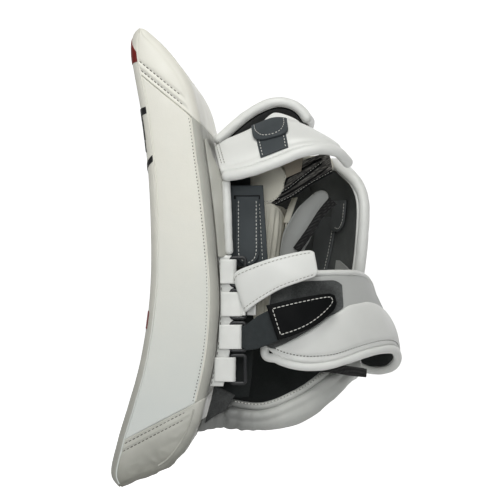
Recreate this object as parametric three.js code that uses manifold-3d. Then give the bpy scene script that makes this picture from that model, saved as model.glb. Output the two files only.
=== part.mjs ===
// A hockey goaltender's blocker: a curved, padded board worn on the back of the stick hand.
// Millimetres, +Z towards the fingertips, +X from the board to the palm, -Y the thumb side.
// The origin is the middle of the hand pocket, between the board's back pad and the palm.
import * as THREE from "three";
import Module from "manifold-3d";

const wasm = await Module();
wasm.setup();

// ---------------------------------------------------------------- driving dimensions
const BOARD_HALF_WIDTH = 100;
const SKIN = 1.8; // leather with its backing
const GAP = 0.5; // between pieces that touch on the real object
const STRIKE_FOAM_DEPTH = 19;
const STIFFENER = 2.4;
const OVERLAY = 0.7; // how far the board's corner panels stand proud of its sides
const PIPING_RADIUS = 1.6;
const ROLL_RADIUS = 5; // padded rolled edge of the hand guards
const SLIM_ROLL_RADIUS = 4.6; // the two rolls over the fingers
const RIM_RADIUS = 3.4; // smaller rolled edge of the wrist parts
const LINING = 1.5;
const RING_PITCH = 27.6;
const RING_BAR = 3; // square bar of the plastic rings
const RING_WIDTH = 15;
const RING_HEIGHT = 26.6;
const RING_TOP_Z = -4.9;
const RING_Y = -84;
const FINGER_YS = [-34, -11.5, 11.5, 34];
const FINGER_TIP_XS = [70, 71, 67, 59];
const FINGER_RADIUS = 9;

// ---------------------------------------------------------------- materials
const leather = (color, roughness = 0.5) =>
  new THREE.MeshStandardMaterial({ color, roughness, metalness: 0 });
const WHITE_LEATHER = leather(0xdcddd6, 0.42);
const BOARD_LEATHER = leather(0xe2e1d6, 0.4);
const PALM_LEATHER = leather(0xa9a9a2, 0.7);
const GREY_LEATHER = leather(0x454b4e, 0.55);
const GREY_FABRIC = leather(0x3a3c3b, 0.9);
const LOOP_PILE = leather(0x5a5c5a, 0.95);
const BLACK_PLASTIC = leather(0x0c0e0f, 0.35);
const BLACK_LEATHER = leather(0x121517, 0.45);
const FOAM = leather(0x8d8f8c, 0.95);
const HARD_SHEET = leather(0xc9c9c4, 0.5);

// ---------------------------------------------------------------- geometry helpers
const vec = (p) => new THREE.Vector3(...p);
const curve = (points) => new THREE.CatmullRomCurve3(points.map(vec), false, "catmullrom");

// A closed body from shared vertices and triangles, its faces turned outwards.
function body(positions, indices) {
  let volume = 0;
  for (let i = 0; i < indices.length; i += 3) {
    const [a, b, c] = [0, 1, 2].map((k) => vec(positions[indices[i + k]]));
    volume += a.dot(b.cross(c));
  }
  const faces = volume > 0 ? indices : [...indices].reverse();
  const geometry = new THREE.BufferGeometry();
  geometry.setAttribute("position", new THREE.Float32BufferAttribute(positions.flat(), 3));
  return geometry.setIndex(faces);
}

// The surface between two rails: u runs along them, v from the first (0) to the second (1).
// belly pushes its middle out, away from the point "inside". Returns point(u, v, offset).
function railSurface(railA, railB, { belly = 0, inside = [10, 0, 20] } = {}) {
  const a = curve(railA);
  const b = curve(railB);
  const centre = vec(inside);
  const flat = (u, v) => a.getPoint(u).lerp(b.getPoint(u), v);
  const STEP = 0.01;
  function normalOf(f, u, v) {
    const u0 = Math.max(0, u - STEP);
    const v0 = Math.max(0, v - STEP);
    const du = f(Math.min(1, u + STEP), v).sub(f(u0, v));
    const dv = f(u, Math.min(1, v + STEP)).sub(f(u, v0));
    return du.cross(dv).normalize();
  }
  const middle = flat(0.5, 0.5);
  const sign = normalOf(flat, 0.5, 0.5).dot(middle.sub(centre)) < 0 ? -1 : 1;
  const bellied = (u, v) => {
    const out = normalOf(flat, u, 0.5).multiplyScalar(sign * belly * 4 * v * (1 - v));
    return flat(u, v).add(out);
  };
  return (u, v, offset = 0) => {
    const out = normalOf(bellied, u, v).multiplyScalar(sign * offset);
    return bellied(u, v).add(out);
  };
}

// A sheet of even thickness on a surface, over part of it. vRange may depend on u.
function slab(surface, { u = [0, 1], v = [0, 1], t, nu = 10, nv = 3 }) {
  const positions = [];
  const indices = [];
  const vAt = typeof v === "function" ? v : () => v;
  for (const offset of t) {
    for (let i = 0; i <= nu; i++) {
      const ui = u[0] + ((u[1] - u[0]) * i) / nu;
      const [v0, v1] = vAt(ui);
      for (let j = 0; j <= nv; j++) {
        positions.push(surface(ui, v0 + ((v1 - v0) * j) / nv, offset).toArray());
      }
    }
  }
  const row = nv + 1;
  const layer = (nu + 1) * row;
  const quad = (a, b, c, d) => indices.push(a, b, c, a, c, d);
  for (let i = 0; i < nu; i++) {
    for (let j = 0; j < nv; j++) {
      const k = i * row + j;
      quad(k, k + row, k + row + 1, k + 1);
      quad(layer + k, layer + k + 1, layer + k + row + 1, layer + k + row);
    }
    quad(i * row, layer + i * row, layer + (i + 1) * row, (i + 1) * row);
    const far = i * row + nv;
    quad(far, far + row, layer + far + row, layer + far);
  }
  for (let j = 0; j < nv; j++) {
    quad(j, j + 1, layer + j + 1, layer + j);
    const end = nu * row + j;
    quad(end, layer + end, layer + end + 1, end + 1);
  }
  return body(positions, indices);
}

// A round limb along a smooth path, with a radius at each end, closed by flat ends.
function limb(points, radius, { steps = 14, sides = 8, endRadius = radius } = {}) {
  const path = curve(points);
  const frames = path.computeFrenetFrames(steps, false);
  const positions = [];
  const indices = [];
  for (let i = 0; i <= steps; i++) {
    const p = path.getPointAt(i / steps);
    const r = radius + ((endRadius - radius) * i) / steps;
    for (let j = 0; j < sides; j++) {
      const angle = (2 * Math.PI * j) / sides;
      const side = frames.normals[i].clone().multiplyScalar(r * Math.cos(angle));
      const up = frames.binormals[i].clone().multiplyScalar(r * Math.sin(angle));
      positions.push(p.clone().add(side).add(up).toArray());
    }
  }
  for (let i = 0; i < steps; i++) {
    for (let j = 0; j < sides; j++) {
      const k = i * sides + j;
      const next = i * sides + ((j + 1) % sides);
      indices.push(k, next, next + sides, k, next + sides, k + sides);
    }
  }
  const last = steps * sides;
  for (let j = 1; j < sides - 1; j++) {
    indices.push(0, j + 1, j);
    indices.push(last, last + j, last + j + 1);
  }
  return body(positions, indices);
}

// A flat shape in X and Z, extruded from y0 to y1.
function plate(shape, y0, y1, segments = 12) {
  const geometry = new THREE.ExtrudeGeometry(shape, {
    depth: y1 - y0,
    bevelEnabled: false,
    curveSegments: segments,
  });
  return geometry.rotateX(Math.PI / 2).translate(0, y1, 0);
}

// A flat shape in X and Y, extruded from z0 to z1.
function column(shape, z0, z1, segments = 6) {
  const geometry = new THREE.ExtrudeGeometry(shape, {
    depth: z1 - z0,
    bevelEnabled: false,
    curveSegments: segments,
  });
  return geometry.translate(0, 0, z0);
}

const shapeOf = (points) => new THREE.Shape(points.map(([x, y]) => new THREE.Vector2(x, y)));

function roundedRectangle(width, height, radius) {
  const [x, y] = [width / 2, height / 2];
  const path = new THREE.Shape();
  path.moveTo(-x + radius, -y);
  path.lineTo(x - radius, -y);
  path.absarc(x - radius, -y + radius, radius, -Math.PI / 2, 0);
  path.lineTo(x, y - radius);
  path.absarc(x - radius, y - radius, radius, 0, Math.PI / 2);
  path.lineTo(-x + radius, y);
  path.absarc(-x + radius, y - radius, radius, Math.PI / 2, Math.PI);
  path.lineTo(-x, -y + radius);
  path.absarc(-x + radius, -y + radius, radius, Math.PI, Math.PI * 1.5);
  return path;
}

// Solids for the joins and cuts.
function solid(geometry) {
  const flat = geometry.index ? geometry.toNonIndexed() : geometry;
  const at = flat.getAttribute("position");
  const found = new Map();
  const vertProperties = [];
  const triVerts = [];
  for (let i = 0; i < at.count; i++) {
    const p = [at.getX(i), at.getY(i), at.getZ(i)];
    const key = p.map((c) => c.toFixed(4)).join();
    if (!found.has(key)) {
      found.set(key, vertProperties.length / 3);
      vertProperties.push(...p);
    }
    triVerts.push(found.get(key));
  }
  return new wasm.Manifold(
    new wasm.Mesh({
      numProp: 3,
      vertProperties: new Float32Array(vertProperties),
      triVerts: new Uint32Array(triVerts),
    }),
  );
}

function geometryOf(manifold) {
  const mesh = manifold.getMesh();
  const at = [];
  for (let i = 0; i < mesh.numVert; i++) {
    const k = i * mesh.numProp;
    at.push(mesh.vertProperties[k], mesh.vertProperties[k + 1], mesh.vertProperties[k + 2]);
  }
  const geometry = new THREE.BufferGeometry();
  geometry.setAttribute("position", new THREE.Float32BufferAttribute(at, 3));
  return geometry.setIndex([...mesh.triVerts]);
}

const part = new THREE.Group();

function add(name, geometry, material) {
  const mesh = new THREE.Mesh(geometry, material);
  mesh.name = name;
  part.add(mesh);
  return mesh;
}

// ---------------------------------------------------------------- the board
// Its side profile in X and Z: the hollow strike face, then the fuller back.
const TOP_TIP = [-91.5, 184.5];
const BOTTOM_TIP = [-110, -198.5];
const STRIKE_LINE = [
  [-97.8, 178.5],
  [-99.8, 165],
  [-92.4, 117],
  [-86.5, 72],
  [-84, 25],
  [-84.2, -25],
  [-88.3, -66],
  [-94.6, -100],
  [-103.4, -131],
  [-112.6, -162],
  [-117.4, -190],
];
const BACK_LINE = [
  [-96, -194.5],
  [-64, -178.5],
  [-46, -152],
  [-37.5, -122],
  [-30.5, -88],
  [-27.5, -55],
  [-27.5, -25],
  [-29.8, 5],
  [-33.5, 42],
  [-38.6, 80],
  [-44.2, 118],
  [-51.8, 143],
  [-66, 165.5],
  [-80.5, 179],
];
const PROFILE_POINTS = [TOP_TIP, ...STRIKE_LINE, BOTTOM_TIP, ...BACK_LINE];
const PROFILE_STEPS = 2 * PROFILE_POINTS.length;
const profile = new THREE.CatmullRomCurve3(
  PROFILE_POINTS.map(([x, z]) => new THREE.Vector3(x, 0, z)),
  true,
  "centripetal",
).getPoints(PROFILE_STEPS);
profile.pop();

// The profile moved inwards, so that layers can be nested in it.
function insetProfile(inset) {
  return profile.map((p, i) => {
    const before = profile[(i + PROFILE_STEPS - 1) % PROFILE_STEPS];
    const after = profile[(i + 1) % PROFILE_STEPS];
    const along = after.clone().sub(before).normalize();
    return [p.x - along.z * inset, p.z + along.x * inset];
  });
}

const boardSolid = (inset, halfWidth) =>
  solid(plate(shapeOf(insetProfile(inset)), -halfWidth, halfWidth));

// A band that follows the strike face, from x0 to x1 behind it.
function strikeBand(x0, x1) {
  const line = [[-98, 215], ...STRIKE_LINE, [-118, -230]];
  const back = line.map(([x, z]) => [x + x1, z]).reverse();
  const outline = [...line.map(([x, z]) => [x + x0, z]), ...back];
  return solid(plate(shapeOf(outline), -150, 150));
}

// A box used to keep part of the board: everything between two heights.
function heightBand(z0, z1) {
  return solid(new THREE.BoxGeometry(600, 600, z1 - z0).translate(0, 0, (z0 + z1) / 2));
}

const CAP_TOP_Z = 130; // where the back cover meets the top cap
const CAP_BOTTOM_Z = -156;
const COVER_HALF_WIDTH = BOARD_HALF_WIDTH - 2 * PIPING_RADIUS - GAP;
const core = boardSolid(SKIN + GAP, COVER_HALF_WIDTH);
const frontSide = strikeBand(-60, STRIKE_FOAM_DEPTH);
const coverShell = boardSolid(0, COVER_HALF_WIDTH).subtract(
  boardSolid(SKIN, BOARD_HALF_WIDTH + 50),
);

add("strike_foam", geometryOf(core.intersect(frontSide)), FOAM);
add(
  "stiffener_plate",
  geometryOf(
    core.intersect(strikeBand(STRIKE_FOAM_DEPTH + GAP, STRIKE_FOAM_DEPTH + GAP + STIFFENER)),
  ),
  HARD_SHEET,
);
add(
  "back_foam",
  geometryOf(core.intersect(strikeBand(STRIKE_FOAM_DEPTH + 2 * GAP + STIFFENER, 300))),
  FOAM,
);

const stripFront = strikeBand(-60, 6);
const stripBack = strikeBand(6 + GAP, 300);
add("strike_face_cover", geometryOf(coverShell.intersect(stripFront)), BOARD_LEATHER);
add(
  "back_cover",
  geometryOf(
    coverShell.intersect(stripBack).intersect(heightBand(CAP_BOTTOM_Z + GAP, CAP_TOP_Z - GAP)),
  ),
  BOARD_LEATHER,
);
add(
  "top_cap",
  geometryOf(coverShell.intersect(stripBack).intersect(heightBand(CAP_TOP_Z, 260))),
  BOARD_LEATHER,
);
add(
  "bottom_cap",
  geometryOf(coverShell.intersect(stripBack).intersect(heightBand(-260, CAP_BOTTOM_Z))),
  BOARD_LEATHER,
);

// Side gussets close the cover; a piping seam joins each one to the strike face.
const GUSSET_INSET = 2 * PIPING_RADIUS + 3 * GAP;
const frontTrim = strikeBand(-60, GUSSET_INSET);
const sideSheet = (thick) => {
  const y0 = BOARD_HALF_WIDTH - SKIN;
  return solid(plate(shapeOf(insetProfile(0.4)), y0, y0 + thick)).subtract(frontTrim);
};

// The gusset's corners are separate, thicker panels, cut on a slant.
const cornerSolid = (points) => solid(plate(shapeOf(points), 0, 200));
const topCorner = (shift) =>
  cornerSolid([
    [-130, 178.2 - shift],
    [20, 54.8 - shift],
    [20, 240],
    [-130, 240],
  ]);
const bottomCorner = (shift) =>
  cornerSolid([
    [-150, -182.2 + shift],
    [30, -88.4 + shift],
    [30, -260],
    [-150, -260],
  ]);
const gusset = sideSheet(SKIN).subtract(topCorner(GAP)).subtract(bottomCorner(GAP));
const mirrored = (manifold) => manifold.mirror([0, 1, 0]);
add("gusset_near", geometryOf(mirrored(gusset)), BOARD_LEATHER);
add("gusset_far", geometryOf(gusset), BOARD_LEATHER);
for (const [end, corner] of [
  ["top", topCorner(0)],
  ["bottom", bottomCorner(0)],
]) {
  const panel = sideSheet(SKIN + OVERLAY).intersect(corner);
  add(`corner_panel_${end}_near`, geometryOf(mirrored(panel)), BOARD_LEATHER);
  add(`corner_panel_${end}_far`, geometryOf(panel), BOARD_LEATHER);
}

const PIPING_INSET = PIPING_RADIUS + 0.3;
for (const [side, sign] of [
  ["near", -1],
  ["far", 1],
]) {
  const y = sign * (BOARD_HALF_WIDTH - PIPING_RADIUS);
  const seam = STRIKE_LINE.slice(1).map(([x, z]) => [x + PIPING_INSET, y, z]);
  add(`front_piping_${side}`, limb(seam, PIPING_RADIUS, { steps: 18, sides: 6 }), WHITE_LEATHER);
}

// ---------------------------------------------------------------- the hand pocket
// A soft sleeve the hand slides into, open at the wrist and at the knuckles.
const SLEEVE_SIDES = 24;
const SLEEVE_SECTIONS = [
  { z: -60, x: 0, a: 20.5, b: 45 },
  { z: -20, x: 0, a: 21.5, b: 48 },
  { z: 15, x: 3, a: 24.5, b: 49 },
  { z: 41, x: 5, a: 26, b: 49 },
];
const SLEEVE_WALL = 2.4;
function sleeve() {
  const positions = [];
  const indices = [];
  const rows = SLEEVE_SECTIONS.length;
  for (const inset of [0, SLEEVE_WALL]) {
    for (const { z, x, a, b } of SLEEVE_SECTIONS) {
      for (let j = 0; j < SLEEVE_SIDES; j++) {
        const angle = (2 * Math.PI * j) / SLEEVE_SIDES;
        positions.push([x + (a - inset) * Math.cos(angle), (b - inset) * Math.sin(angle), z]);
      }
    }
  }
  const layer = rows * SLEEVE_SIDES;
  const quad = (a, b, c, d) => indices.push(a, b, c, a, c, d);
  for (let j = 0; j < SLEEVE_SIDES; j++) {
    const n = (j + 1) % SLEEVE_SIDES;
    for (let i = 0; i < rows - 1; i++) {
      const [k, m] = [i * SLEEVE_SIDES + j, i * SLEEVE_SIDES + n];
      quad(k, m, m + SLEEVE_SIDES, k + SLEEVE_SIDES);
      quad(layer + k, layer + k + SLEEVE_SIDES, layer + m + SLEEVE_SIDES, layer + m);
    }
    const top = (rows - 1) * SLEEVE_SIDES;
    quad(n, j, layer + j, layer + n);
    quad(top + j, top + n, layer + top + n, layer + top + j);
  }
  return body(positions, indices);
}
add("hand_sleeve", sleeve(), PALM_LEATHER);

const PAD_LINE = BACK_LINE.filter(([, z]) => Math.abs(z) < 60);
const backPadSurface = railSurface(
  PAD_LINE.map(([x, z]) => [x, -44, z]),
  PAD_LINE.map(([x, z]) => [x, 44, z]),
  { inside: [-80, 0, 0] },
);
add("hand_back_pad", slab(backPadSurface, { t: [1, 5], nu: 6, nv: 2 }), GREY_FABRIC);

// The palm's own layer of thin leather, over the sleeve.
const PALM_REACH = 36;
const palmRail = (y) => SLEEVE_SECTIONS.map(({ z, x, a, b }) => {
  return [x + a * Math.sqrt(1 - (y / b) ** 2) + 0.6, y, z + 1];
});
const palmRails = [-PALM_REACH, -PALM_REACH / 2, 0, PALM_REACH / 2, PALM_REACH].map(palmRail);
const palmSurface = (u, v, offset = 0) => {
  const across = curve(palmRails.map((rail) => curve(rail).getPoint(u).toArray()));
  return across.getPoint(v).add(new THREE.Vector3(offset, 0, 0));
};
add("palm_patch", slab(palmSurface, { t: [0.5, 2.2], nu: 4, nv: 8 }), PALM_LEATHER);

// Four fingers, curled round the stick, and the thumb.
const FINGER_NAMES = ["index", "middle", "ring", "little"];
FINGER_YS.forEach((y, i) => {
  const path = [
    [4, y, 44.5],
    [8, y, 58],
    [24, y, 71],
    [44, y, 74],
    [FINGER_TIP_XS[i], y, 77],
  ];
  const finger = limb(path, FINGER_RADIUS + 1.2, { steps: 9, endRadius: FINGER_RADIUS - 1 });
  add(`finger_${FINGER_NAMES[i]}`, finger, PALM_LEATHER);
});
const THUMB_PATH = [
  [30, -29, -34],
  [31, -32, -12],
  [36, -32, 8],
  [47, -31, 29],
  [63.5, -26, 52],
];
add("thumb", limb(THUMB_PATH, 8.6, { steps: 8, endRadius: 7 }), PALM_LEATHER);
const bandSurface = railSurface(
  [
    [34.5, -42, 2.2],
    [46, -42, 18],
    [56.6, -42, 34.6],
    [66.5, -39, 46.5],
  ],
  [
    [40.2, -41, -2.2],
    [51.6, -41, 13.6],
    [62.2, -41, 30.4],
    [73, -38, 40],
  ],
  { inside: [50, 0, 20] },
);
add("thumb_band", slab(bandSurface, { t: [0.4, 3], nu: 6, nv: 2 }), GREY_FABRIC);

// ---------------------------------------------------------------- the side strap
// A leather panel from the board along the thumb side of the hand, with a slot near its top.
const PANEL_Y = -68;
const PANEL_THICK = 2.6;
const PANEL_OUTLINE = [
  [-25.5, -16],
  [14.5, -16],
  [12.5, 54],
  [-31.5, 55],
];
const SLOT = { x0: -14.5, x1: 7, z0: 43, z1: 46.4 };
const slotBox = new THREE.BoxGeometry(SLOT.x1 - SLOT.x0, 30, SLOT.z1 - SLOT.z0).translate(
  (SLOT.x0 + SLOT.x1) / 2,
  PANEL_Y,
  (SLOT.z0 + SLOT.z1) / 2,
);
const panelPlate = plate(shapeOf(PANEL_OUTLINE), PANEL_Y - PANEL_THICK, PANEL_Y);
add("side_panel", geometryOf(solid(panelPlate).subtract(solid(slotBox))), GREY_LEATHER);

// The strap comes out of the slot, slides down the panel and ends in a round tongue.
const STRAP_HALF_WIDTH = 10;
const STRAP_X = (SLOT.x0 + SLOT.x1) / 2;
const strapOutline = new THREE.Shape();
strapOutline.moveTo(STRAP_X - STRAP_HALF_WIDTH, 45.8);
strapOutline.lineTo(STRAP_X - STRAP_HALF_WIDTH, -3);
strapOutline.absarc(STRAP_X, -3, STRAP_HALF_WIDTH, Math.PI, 2 * Math.PI);
strapOutline.lineTo(STRAP_X + STRAP_HALF_WIDTH, 45.8);
const strapFrontY = PANEL_Y - PANEL_THICK - GAP;
add("side_strap", plate(strapOutline, strapFrontY - 2.2, strapFrontY, 4), GREY_LEATHER);

// ---------------------------------------------------------------- the finger guard
// A padded roof over the fingertips. Its thumb-side edge is a fat roll.
const SHIELD_NEAR = [
  [-32, -38, 92],
  [-21, -38, 101],
  [-8, -38, 112.5],
  [5, -38, 121],
  [17, -38, 126],
  [28, -38, 126],
  [38, -38, 121],
  [46, -38, 110],
];
const SHIELD_FAR = [
  [-32, 74, 88],
  [-22, 74, 96],
  [-10, 74, 105],
  [3, 74, 112],
  [15, 74, 115.5],
  [26, 74, 115],
  [36, 74, 111],
  [44, 74, 103],
];
const shieldSurface = railSurface(SHIELD_NEAR, SHIELD_FAR, { belly: 5, inside: [10, 0, 40] });
const shieldStart = (ROLL_RADIUS + 1.2) / 112;
add(
  "finger_shield_pad",
  slab(shieldSurface, { t: [0, 8], v: [shieldStart, 1 - shieldStart], nu: 10, nv: 4 }),
  WHITE_LEATHER,
);
add(
  "finger_shield_lining",
  slab(shieldSurface, {
    t: [-LINING - GAP, -GAP],
    u: [0.02, 0.98],
    v: [shieldStart, 1 - shieldStart],
    nu: 10,
    nv: 4,
  }),
  GREY_FABRIC,
);
const alongSurface = (surface, steps, at) =>
  Array.from({ length: steps + 1 }, (_, i) => surface(...at(i / steps)).toArray());
const nearRollPath = alongSurface(shieldSurface, 8, (s) => [s, 0, 4]);
const farRollPath = alongSurface(shieldSurface, 8, (s) => [s, 1, 3.5]);
add("finger_shield_roll", limb(nearRollPath, SLIM_ROLL_RADIUS, { steps: 14 }), WHITE_LEATHER);
add("finger_shield_far_roll", limb(farRollPath, ROLL_RADIUS, { steps: 14 }), WHITE_LEATHER);

// A side wall that covers the index finger, with a fat roll along its lower edge.
const INDEX_TOP = [
  [-32, -51, 87],
  [-21, -51, 94],
  [-7, -51, 100],
  [7, -51, 107],
  [20, -51, 113],
  [32, -52, 110],
  [44, -53, 104],
  [54, -56, 95],
  [63, -60, 87],
];
const INDEX_BOTTOM = [
  [-24, -85, 61],
  [-11, -88, 62.5],
  [2, -90, 65.5],
  [15, -91, 70],
  [28, -91, 75],
  [41, -90, 80],
  [55, -87, 83],
  [68, -80, 82.5],
  [78, -71, 78],
];
const indexSurface = railSurface(INDEX_TOP, INDEX_BOTTOM, { belly: 4, inside: [20, 0, 60] });
const indexLength = (u) => indexSurface(u, 0).distanceTo(indexSurface(u, 1));
const indexEdge = (u) => 1 - (SLIM_ROLL_RADIUS + 1.3) / indexLength(u);
add(
  "index_guard_pad",
  slab(indexSurface, { t: [0, 4], u: [0, 0.94], v: (u) => [0, indexEdge(u)], nu: 10, nv: 4 }),
  WHITE_LEATHER,
);
add(
  "index_guard_lining",
  slab(indexSurface, {
    t: [-LINING - GAP, -GAP],
    u: [0.02, 0.92],
    v: (u) => [0.03, indexEdge(u) - 0.02],
    nu: 10,
    nv: 4,
  }),
  GREY_FABRIC,
);
const INDEX_CURL = [
  [84, -63, 73],
  [83.5, -57, 70],
  [81, -52, 69],
];
const indexRollPath = [...alongSurface(indexSurface, 8, (s) => [s, 1, 2.5]), ...INDEX_CURL];
add("index_guard_roll", limb(indexRollPath, SLIM_ROLL_RADIUS, { steps: 18 }), WHITE_LEATHER);
add(
  "index_guard_strip",
  slab(indexSurface, { t: [4.5, 6], u: [0.34, 0.555], v: [0.36, 0.84], nu: 3, nv: 3 }),
  GREY_LEATHER,
);
add(
  "index_guard_tab",
  slab(indexSurface, { t: [6.5, 8.8], u: [0.325, 0.575], v: [0.18, 0.6], nu: 3, nv: 3 }),
  GREY_LEATHER,
);

// ---------------------------------------------------------------- the thumb guard
const THUMB_NEAR = [
  [89, -13, -37],
  [90.5, -14, -24],
  [93, -16, -4],
  [95, -16, 22],
  [95, -15, 44],
  [88.5, -10, 61],
  [75, 0, 71.5],
];
const THUMB_FAR = [
  [46, 72, -37],
  [48, 75, -24],
  [51, 77, -2],
  [53, 78, 22],
  [52, 77, 44],
  [49, 74, 62],
  [45, 68, 76],
];
const thumbSurface = railSurface(THUMB_NEAR, THUMB_FAR, { belly: 12, inside: [30, 0, 20] });
const THUMB_ROLL_SPAN = (ROLL_RADIUS + 1.3) / 102;
add(
  "thumb_guard_pad",
  slab(thumbSurface, { t: [0, 7], u: [0, 0.91], v: [THUMB_ROLL_SPAN, 1], nu: 7, nv: 6 }),
  WHITE_LEATHER,
);
add(
  "thumb_guard_lining",
  slab(thumbSurface, {
    t: [-LINING - GAP, -GAP],
    u: [0.02, 0.92],
    v: [THUMB_ROLL_SPAN, 0.97],
    nu: 7,
    nv: 6,
  }),
  GREY_FABRIC,
);
const thumbRollPath = [
  ...alongSurface(thumbSurface, 7, (s) => [s * 0.95, 0, 2.5]),
  ...alongSurface(thumbSurface, 5, (s) => [1, 0.08 + 0.92 * s, 2.5]),
];
add("thumb_guard_roll", limb(thumbRollPath, ROLL_RADIUS, { steps: 24 }), WHITE_LEATHER);
add(
  "thumb_guard_strap",
  slab(thumbSurface, {
    t: [-LINING - 3.2, -LINING - 2 * GAP],
    u: [0.03, 0.57],
    v: (u) => [0.66 + 0.24 * (0.57 - u), 0.94],
    nu: 5,
    nv: 3,
  }),
  GREY_LEATHER,
);

// ---------------------------------------------------------------- rings on the board's edge
// Four plastic rings; a folded leather tab holds each one by its left bar.
const RING_X = -11;
const HOLD_X = RING_X - RING_WIDTH / 2 + RING_BAR / 2;
const STRAP_BAR_X = RING_X + RING_WIDTH / 2 - RING_BAR / 2;
const TAB_LOOP = 3.7;
const TAB_HOLE = 2.4;
const TAB_HEIGHT = 19;
const ringCentreZ = (i) => RING_TOP_Z - RING_HEIGHT / 2 - i * RING_PITCH;

function ringGeometry(z) {
  const outer = roundedRectangle(RING_WIDTH, RING_HEIGHT, 3);
  outer.holes.push(
    roundedRectangle(RING_WIDTH - 2 * RING_BAR, RING_HEIGHT - 2 * RING_BAR, 1.4),
  );
  return plate(outer, RING_Y - RING_BAR / 2, RING_Y + RING_BAR / 2, 3).translate(RING_X, 0, z);
}

// The loop round a ring's bar, with a tail that runs back to the board.
function tabGeometry(z) {
  const loop = new THREE.Shape().absarc(HOLD_X, RING_Y, TAB_LOOP, 0, 2 * Math.PI);
  loop.holes.push(new THREE.Path().absarc(HOLD_X, RING_Y, TAB_HOLE, 0, 2 * Math.PI));
  const z0 = z - TAB_HEIGHT / 2;
  const loopSolid = solid(column(loop, z0, z0 + TAB_HEIGHT, 8));
  const edge = BACK_LINE.find(([, height]) => height >= z)[0] + 3.4;
  const tail = shapeOf([
    [edge, RING_Y + 2.4],
    [HOLD_X - 2, RING_Y - TAB_LOOP + 1],
    [HOLD_X - 0.8, RING_Y + TAB_LOOP - 0.6],
    [edge, RING_Y + 5.4],
  ]);
  const bore = new THREE.Shape().absarc(HOLD_X, RING_Y, TAB_HOLE, 0, 2 * Math.PI);
  const tailSolid = solid(column(tail, z0, z0 + TAB_HEIGHT));
  const boreSolid = solid(column(bore, z0 - 1, z0 + TAB_HEIGHT + 1, 8));
  return geometryOf(loopSolid.add(tailSolid).subtract(boreSolid));
}
for (let i = 0; i < 4; i++) {
  add(`ring_${i + 1}`, ringGeometry(ringCentreZ(i)), BLACK_PLASTIC);
  add(`ring_tab_${i + 1}`, tabGeometry(ringCentreZ(i)), WHITE_LEATHER);
}

// A strap's end, folded round a ring's outer bar.
function strapLoop(z, height) {
  const loop = new THREE.Shape().absarc(STRAP_BAR_X, RING_Y, TAB_LOOP, 0, 2 * Math.PI);
  loop.holes.push(new THREE.Path().absarc(STRAP_BAR_X, RING_Y, TAB_HOLE, 0, 2 * Math.PI));
  return solid(column(loop, z - height / 2, z + height / 2, 8));
}
const STRAP_LOOP_HEIGHT = 19;

// The white wrist strap, from the second ring up across the cuff.
const WRIST_STRAP_TOP = [
  [-5, -88.2, -37.6],
  [2, -92.6, -17],
  [20.5, -93, -6],
  [40, -91.5, -1.5],
  [53, -89, 0.3],
];
const WRIST_STRAP_BOTTOM = [
  [-5, -88.2, -54.2],
  [9.6, -93, -42],
  [25, -94, -33],
  [41, -93.5, -27],
  [57, -90, -21.5],
];
const wristStrapSurface = railSurface(WRIST_STRAP_TOP, WRIST_STRAP_BOTTOM, { inside: [20, 0, -20] });
const wristStrapSheet = slab(wristStrapSurface, { t: [-1.4, 1.4], nu: 9, nv: 2 });
add(
  "wrist_strap",
  geometryOf(solid(wristStrapSheet).add(strapLoop(ringCentreZ(1), STRAP_LOOP_HEIGHT))),
  WHITE_LEATHER,
);

// ---------------------------------------------------------------- the cuff flap
// The outer wrist flap: free at the board, wrapped round the palm side, flared at the bottom.
const FLAP_TOP = [
  [12, -71, -27],
  [30, -74, -22],
  [50, -73.5, -20],
  [69, -66, -19.5],
  [85, -51, -20],
  [98, -30, -23],
  [106, -8, -37],
  [112, 10, -60],
  [112, 26, -80],
  [102, 37, -91],
  [94, 43, -95],
];
const FLAP_BOTTOM = [
  [8, -71, -80],
  [20, -76, -92],
  [42, -79, -98.5],
  [68, -74, -97.5],
  [92, -60, -90.5],
  [112, -42, -87],
  [125, -20, -89.5],
  [128.5, 0, -100.5],
  [122, 21, -110],
  [108, 35, -112.5],
  [94, 43, -109.5],
];
const flapSurface = railSurface(FLAP_TOP, FLAP_BOTTOM, { belly: 3, inside: [50, 0, -60] });
const flapLength = (u) => flapSurface(u, 0).distanceTo(flapSurface(u, 1));
const flapEdge = (u) => (RIM_RADIUS + (u < 0.6 ? 1.2 : 3)) / flapLength(u);
const FLAP_SPAN = [0.05, 0.9];
add(
  "cuff_flap_pad",
  slab(flapSurface, {
    t: [-3, 3],
    u: FLAP_SPAN,
    v: (u) => [flapEdge(u), 1 - flapEdge(u)],
    nu: 12,
    nv: 4,
  }),
  WHITE_LEATHER,
);
add(
  "cuff_flap_lining",
  slab(flapSurface, {
    t: [-3 - LINING - GAP, -3 - GAP],
    u: FLAP_SPAN,
    v: (u) => [flapEdge(u), 1 - flapEdge(u)],
    nu: 12,
    nv: 4,
  }),
  GREY_FABRIC,
);
const flapRollPath = [
  ...alongSurface(flapSurface, 9, (s) => [0.97 - 0.97 * s, 0]),
  ...alongSurface(flapSurface, 10, (s) => [s * 0.97, 1]),
];
add("cuff_flap_roll", limb(flapRollPath, RIM_RADIUS, { steps: 36 }), WHITE_LEATHER);
add(
  "cuff_loop_patch",
  slab(flapSurface, {
    t: [3.5, 4.7],
    u: [0.06, 0.4],
    v: (u) => [flapEdge(u) + 0.02, 0.86 - 0.9 * Math.max(0, u - 0.1)],
    nu: 5,
    nv: 3,
  }),
  LOOP_PILE,
);

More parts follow.
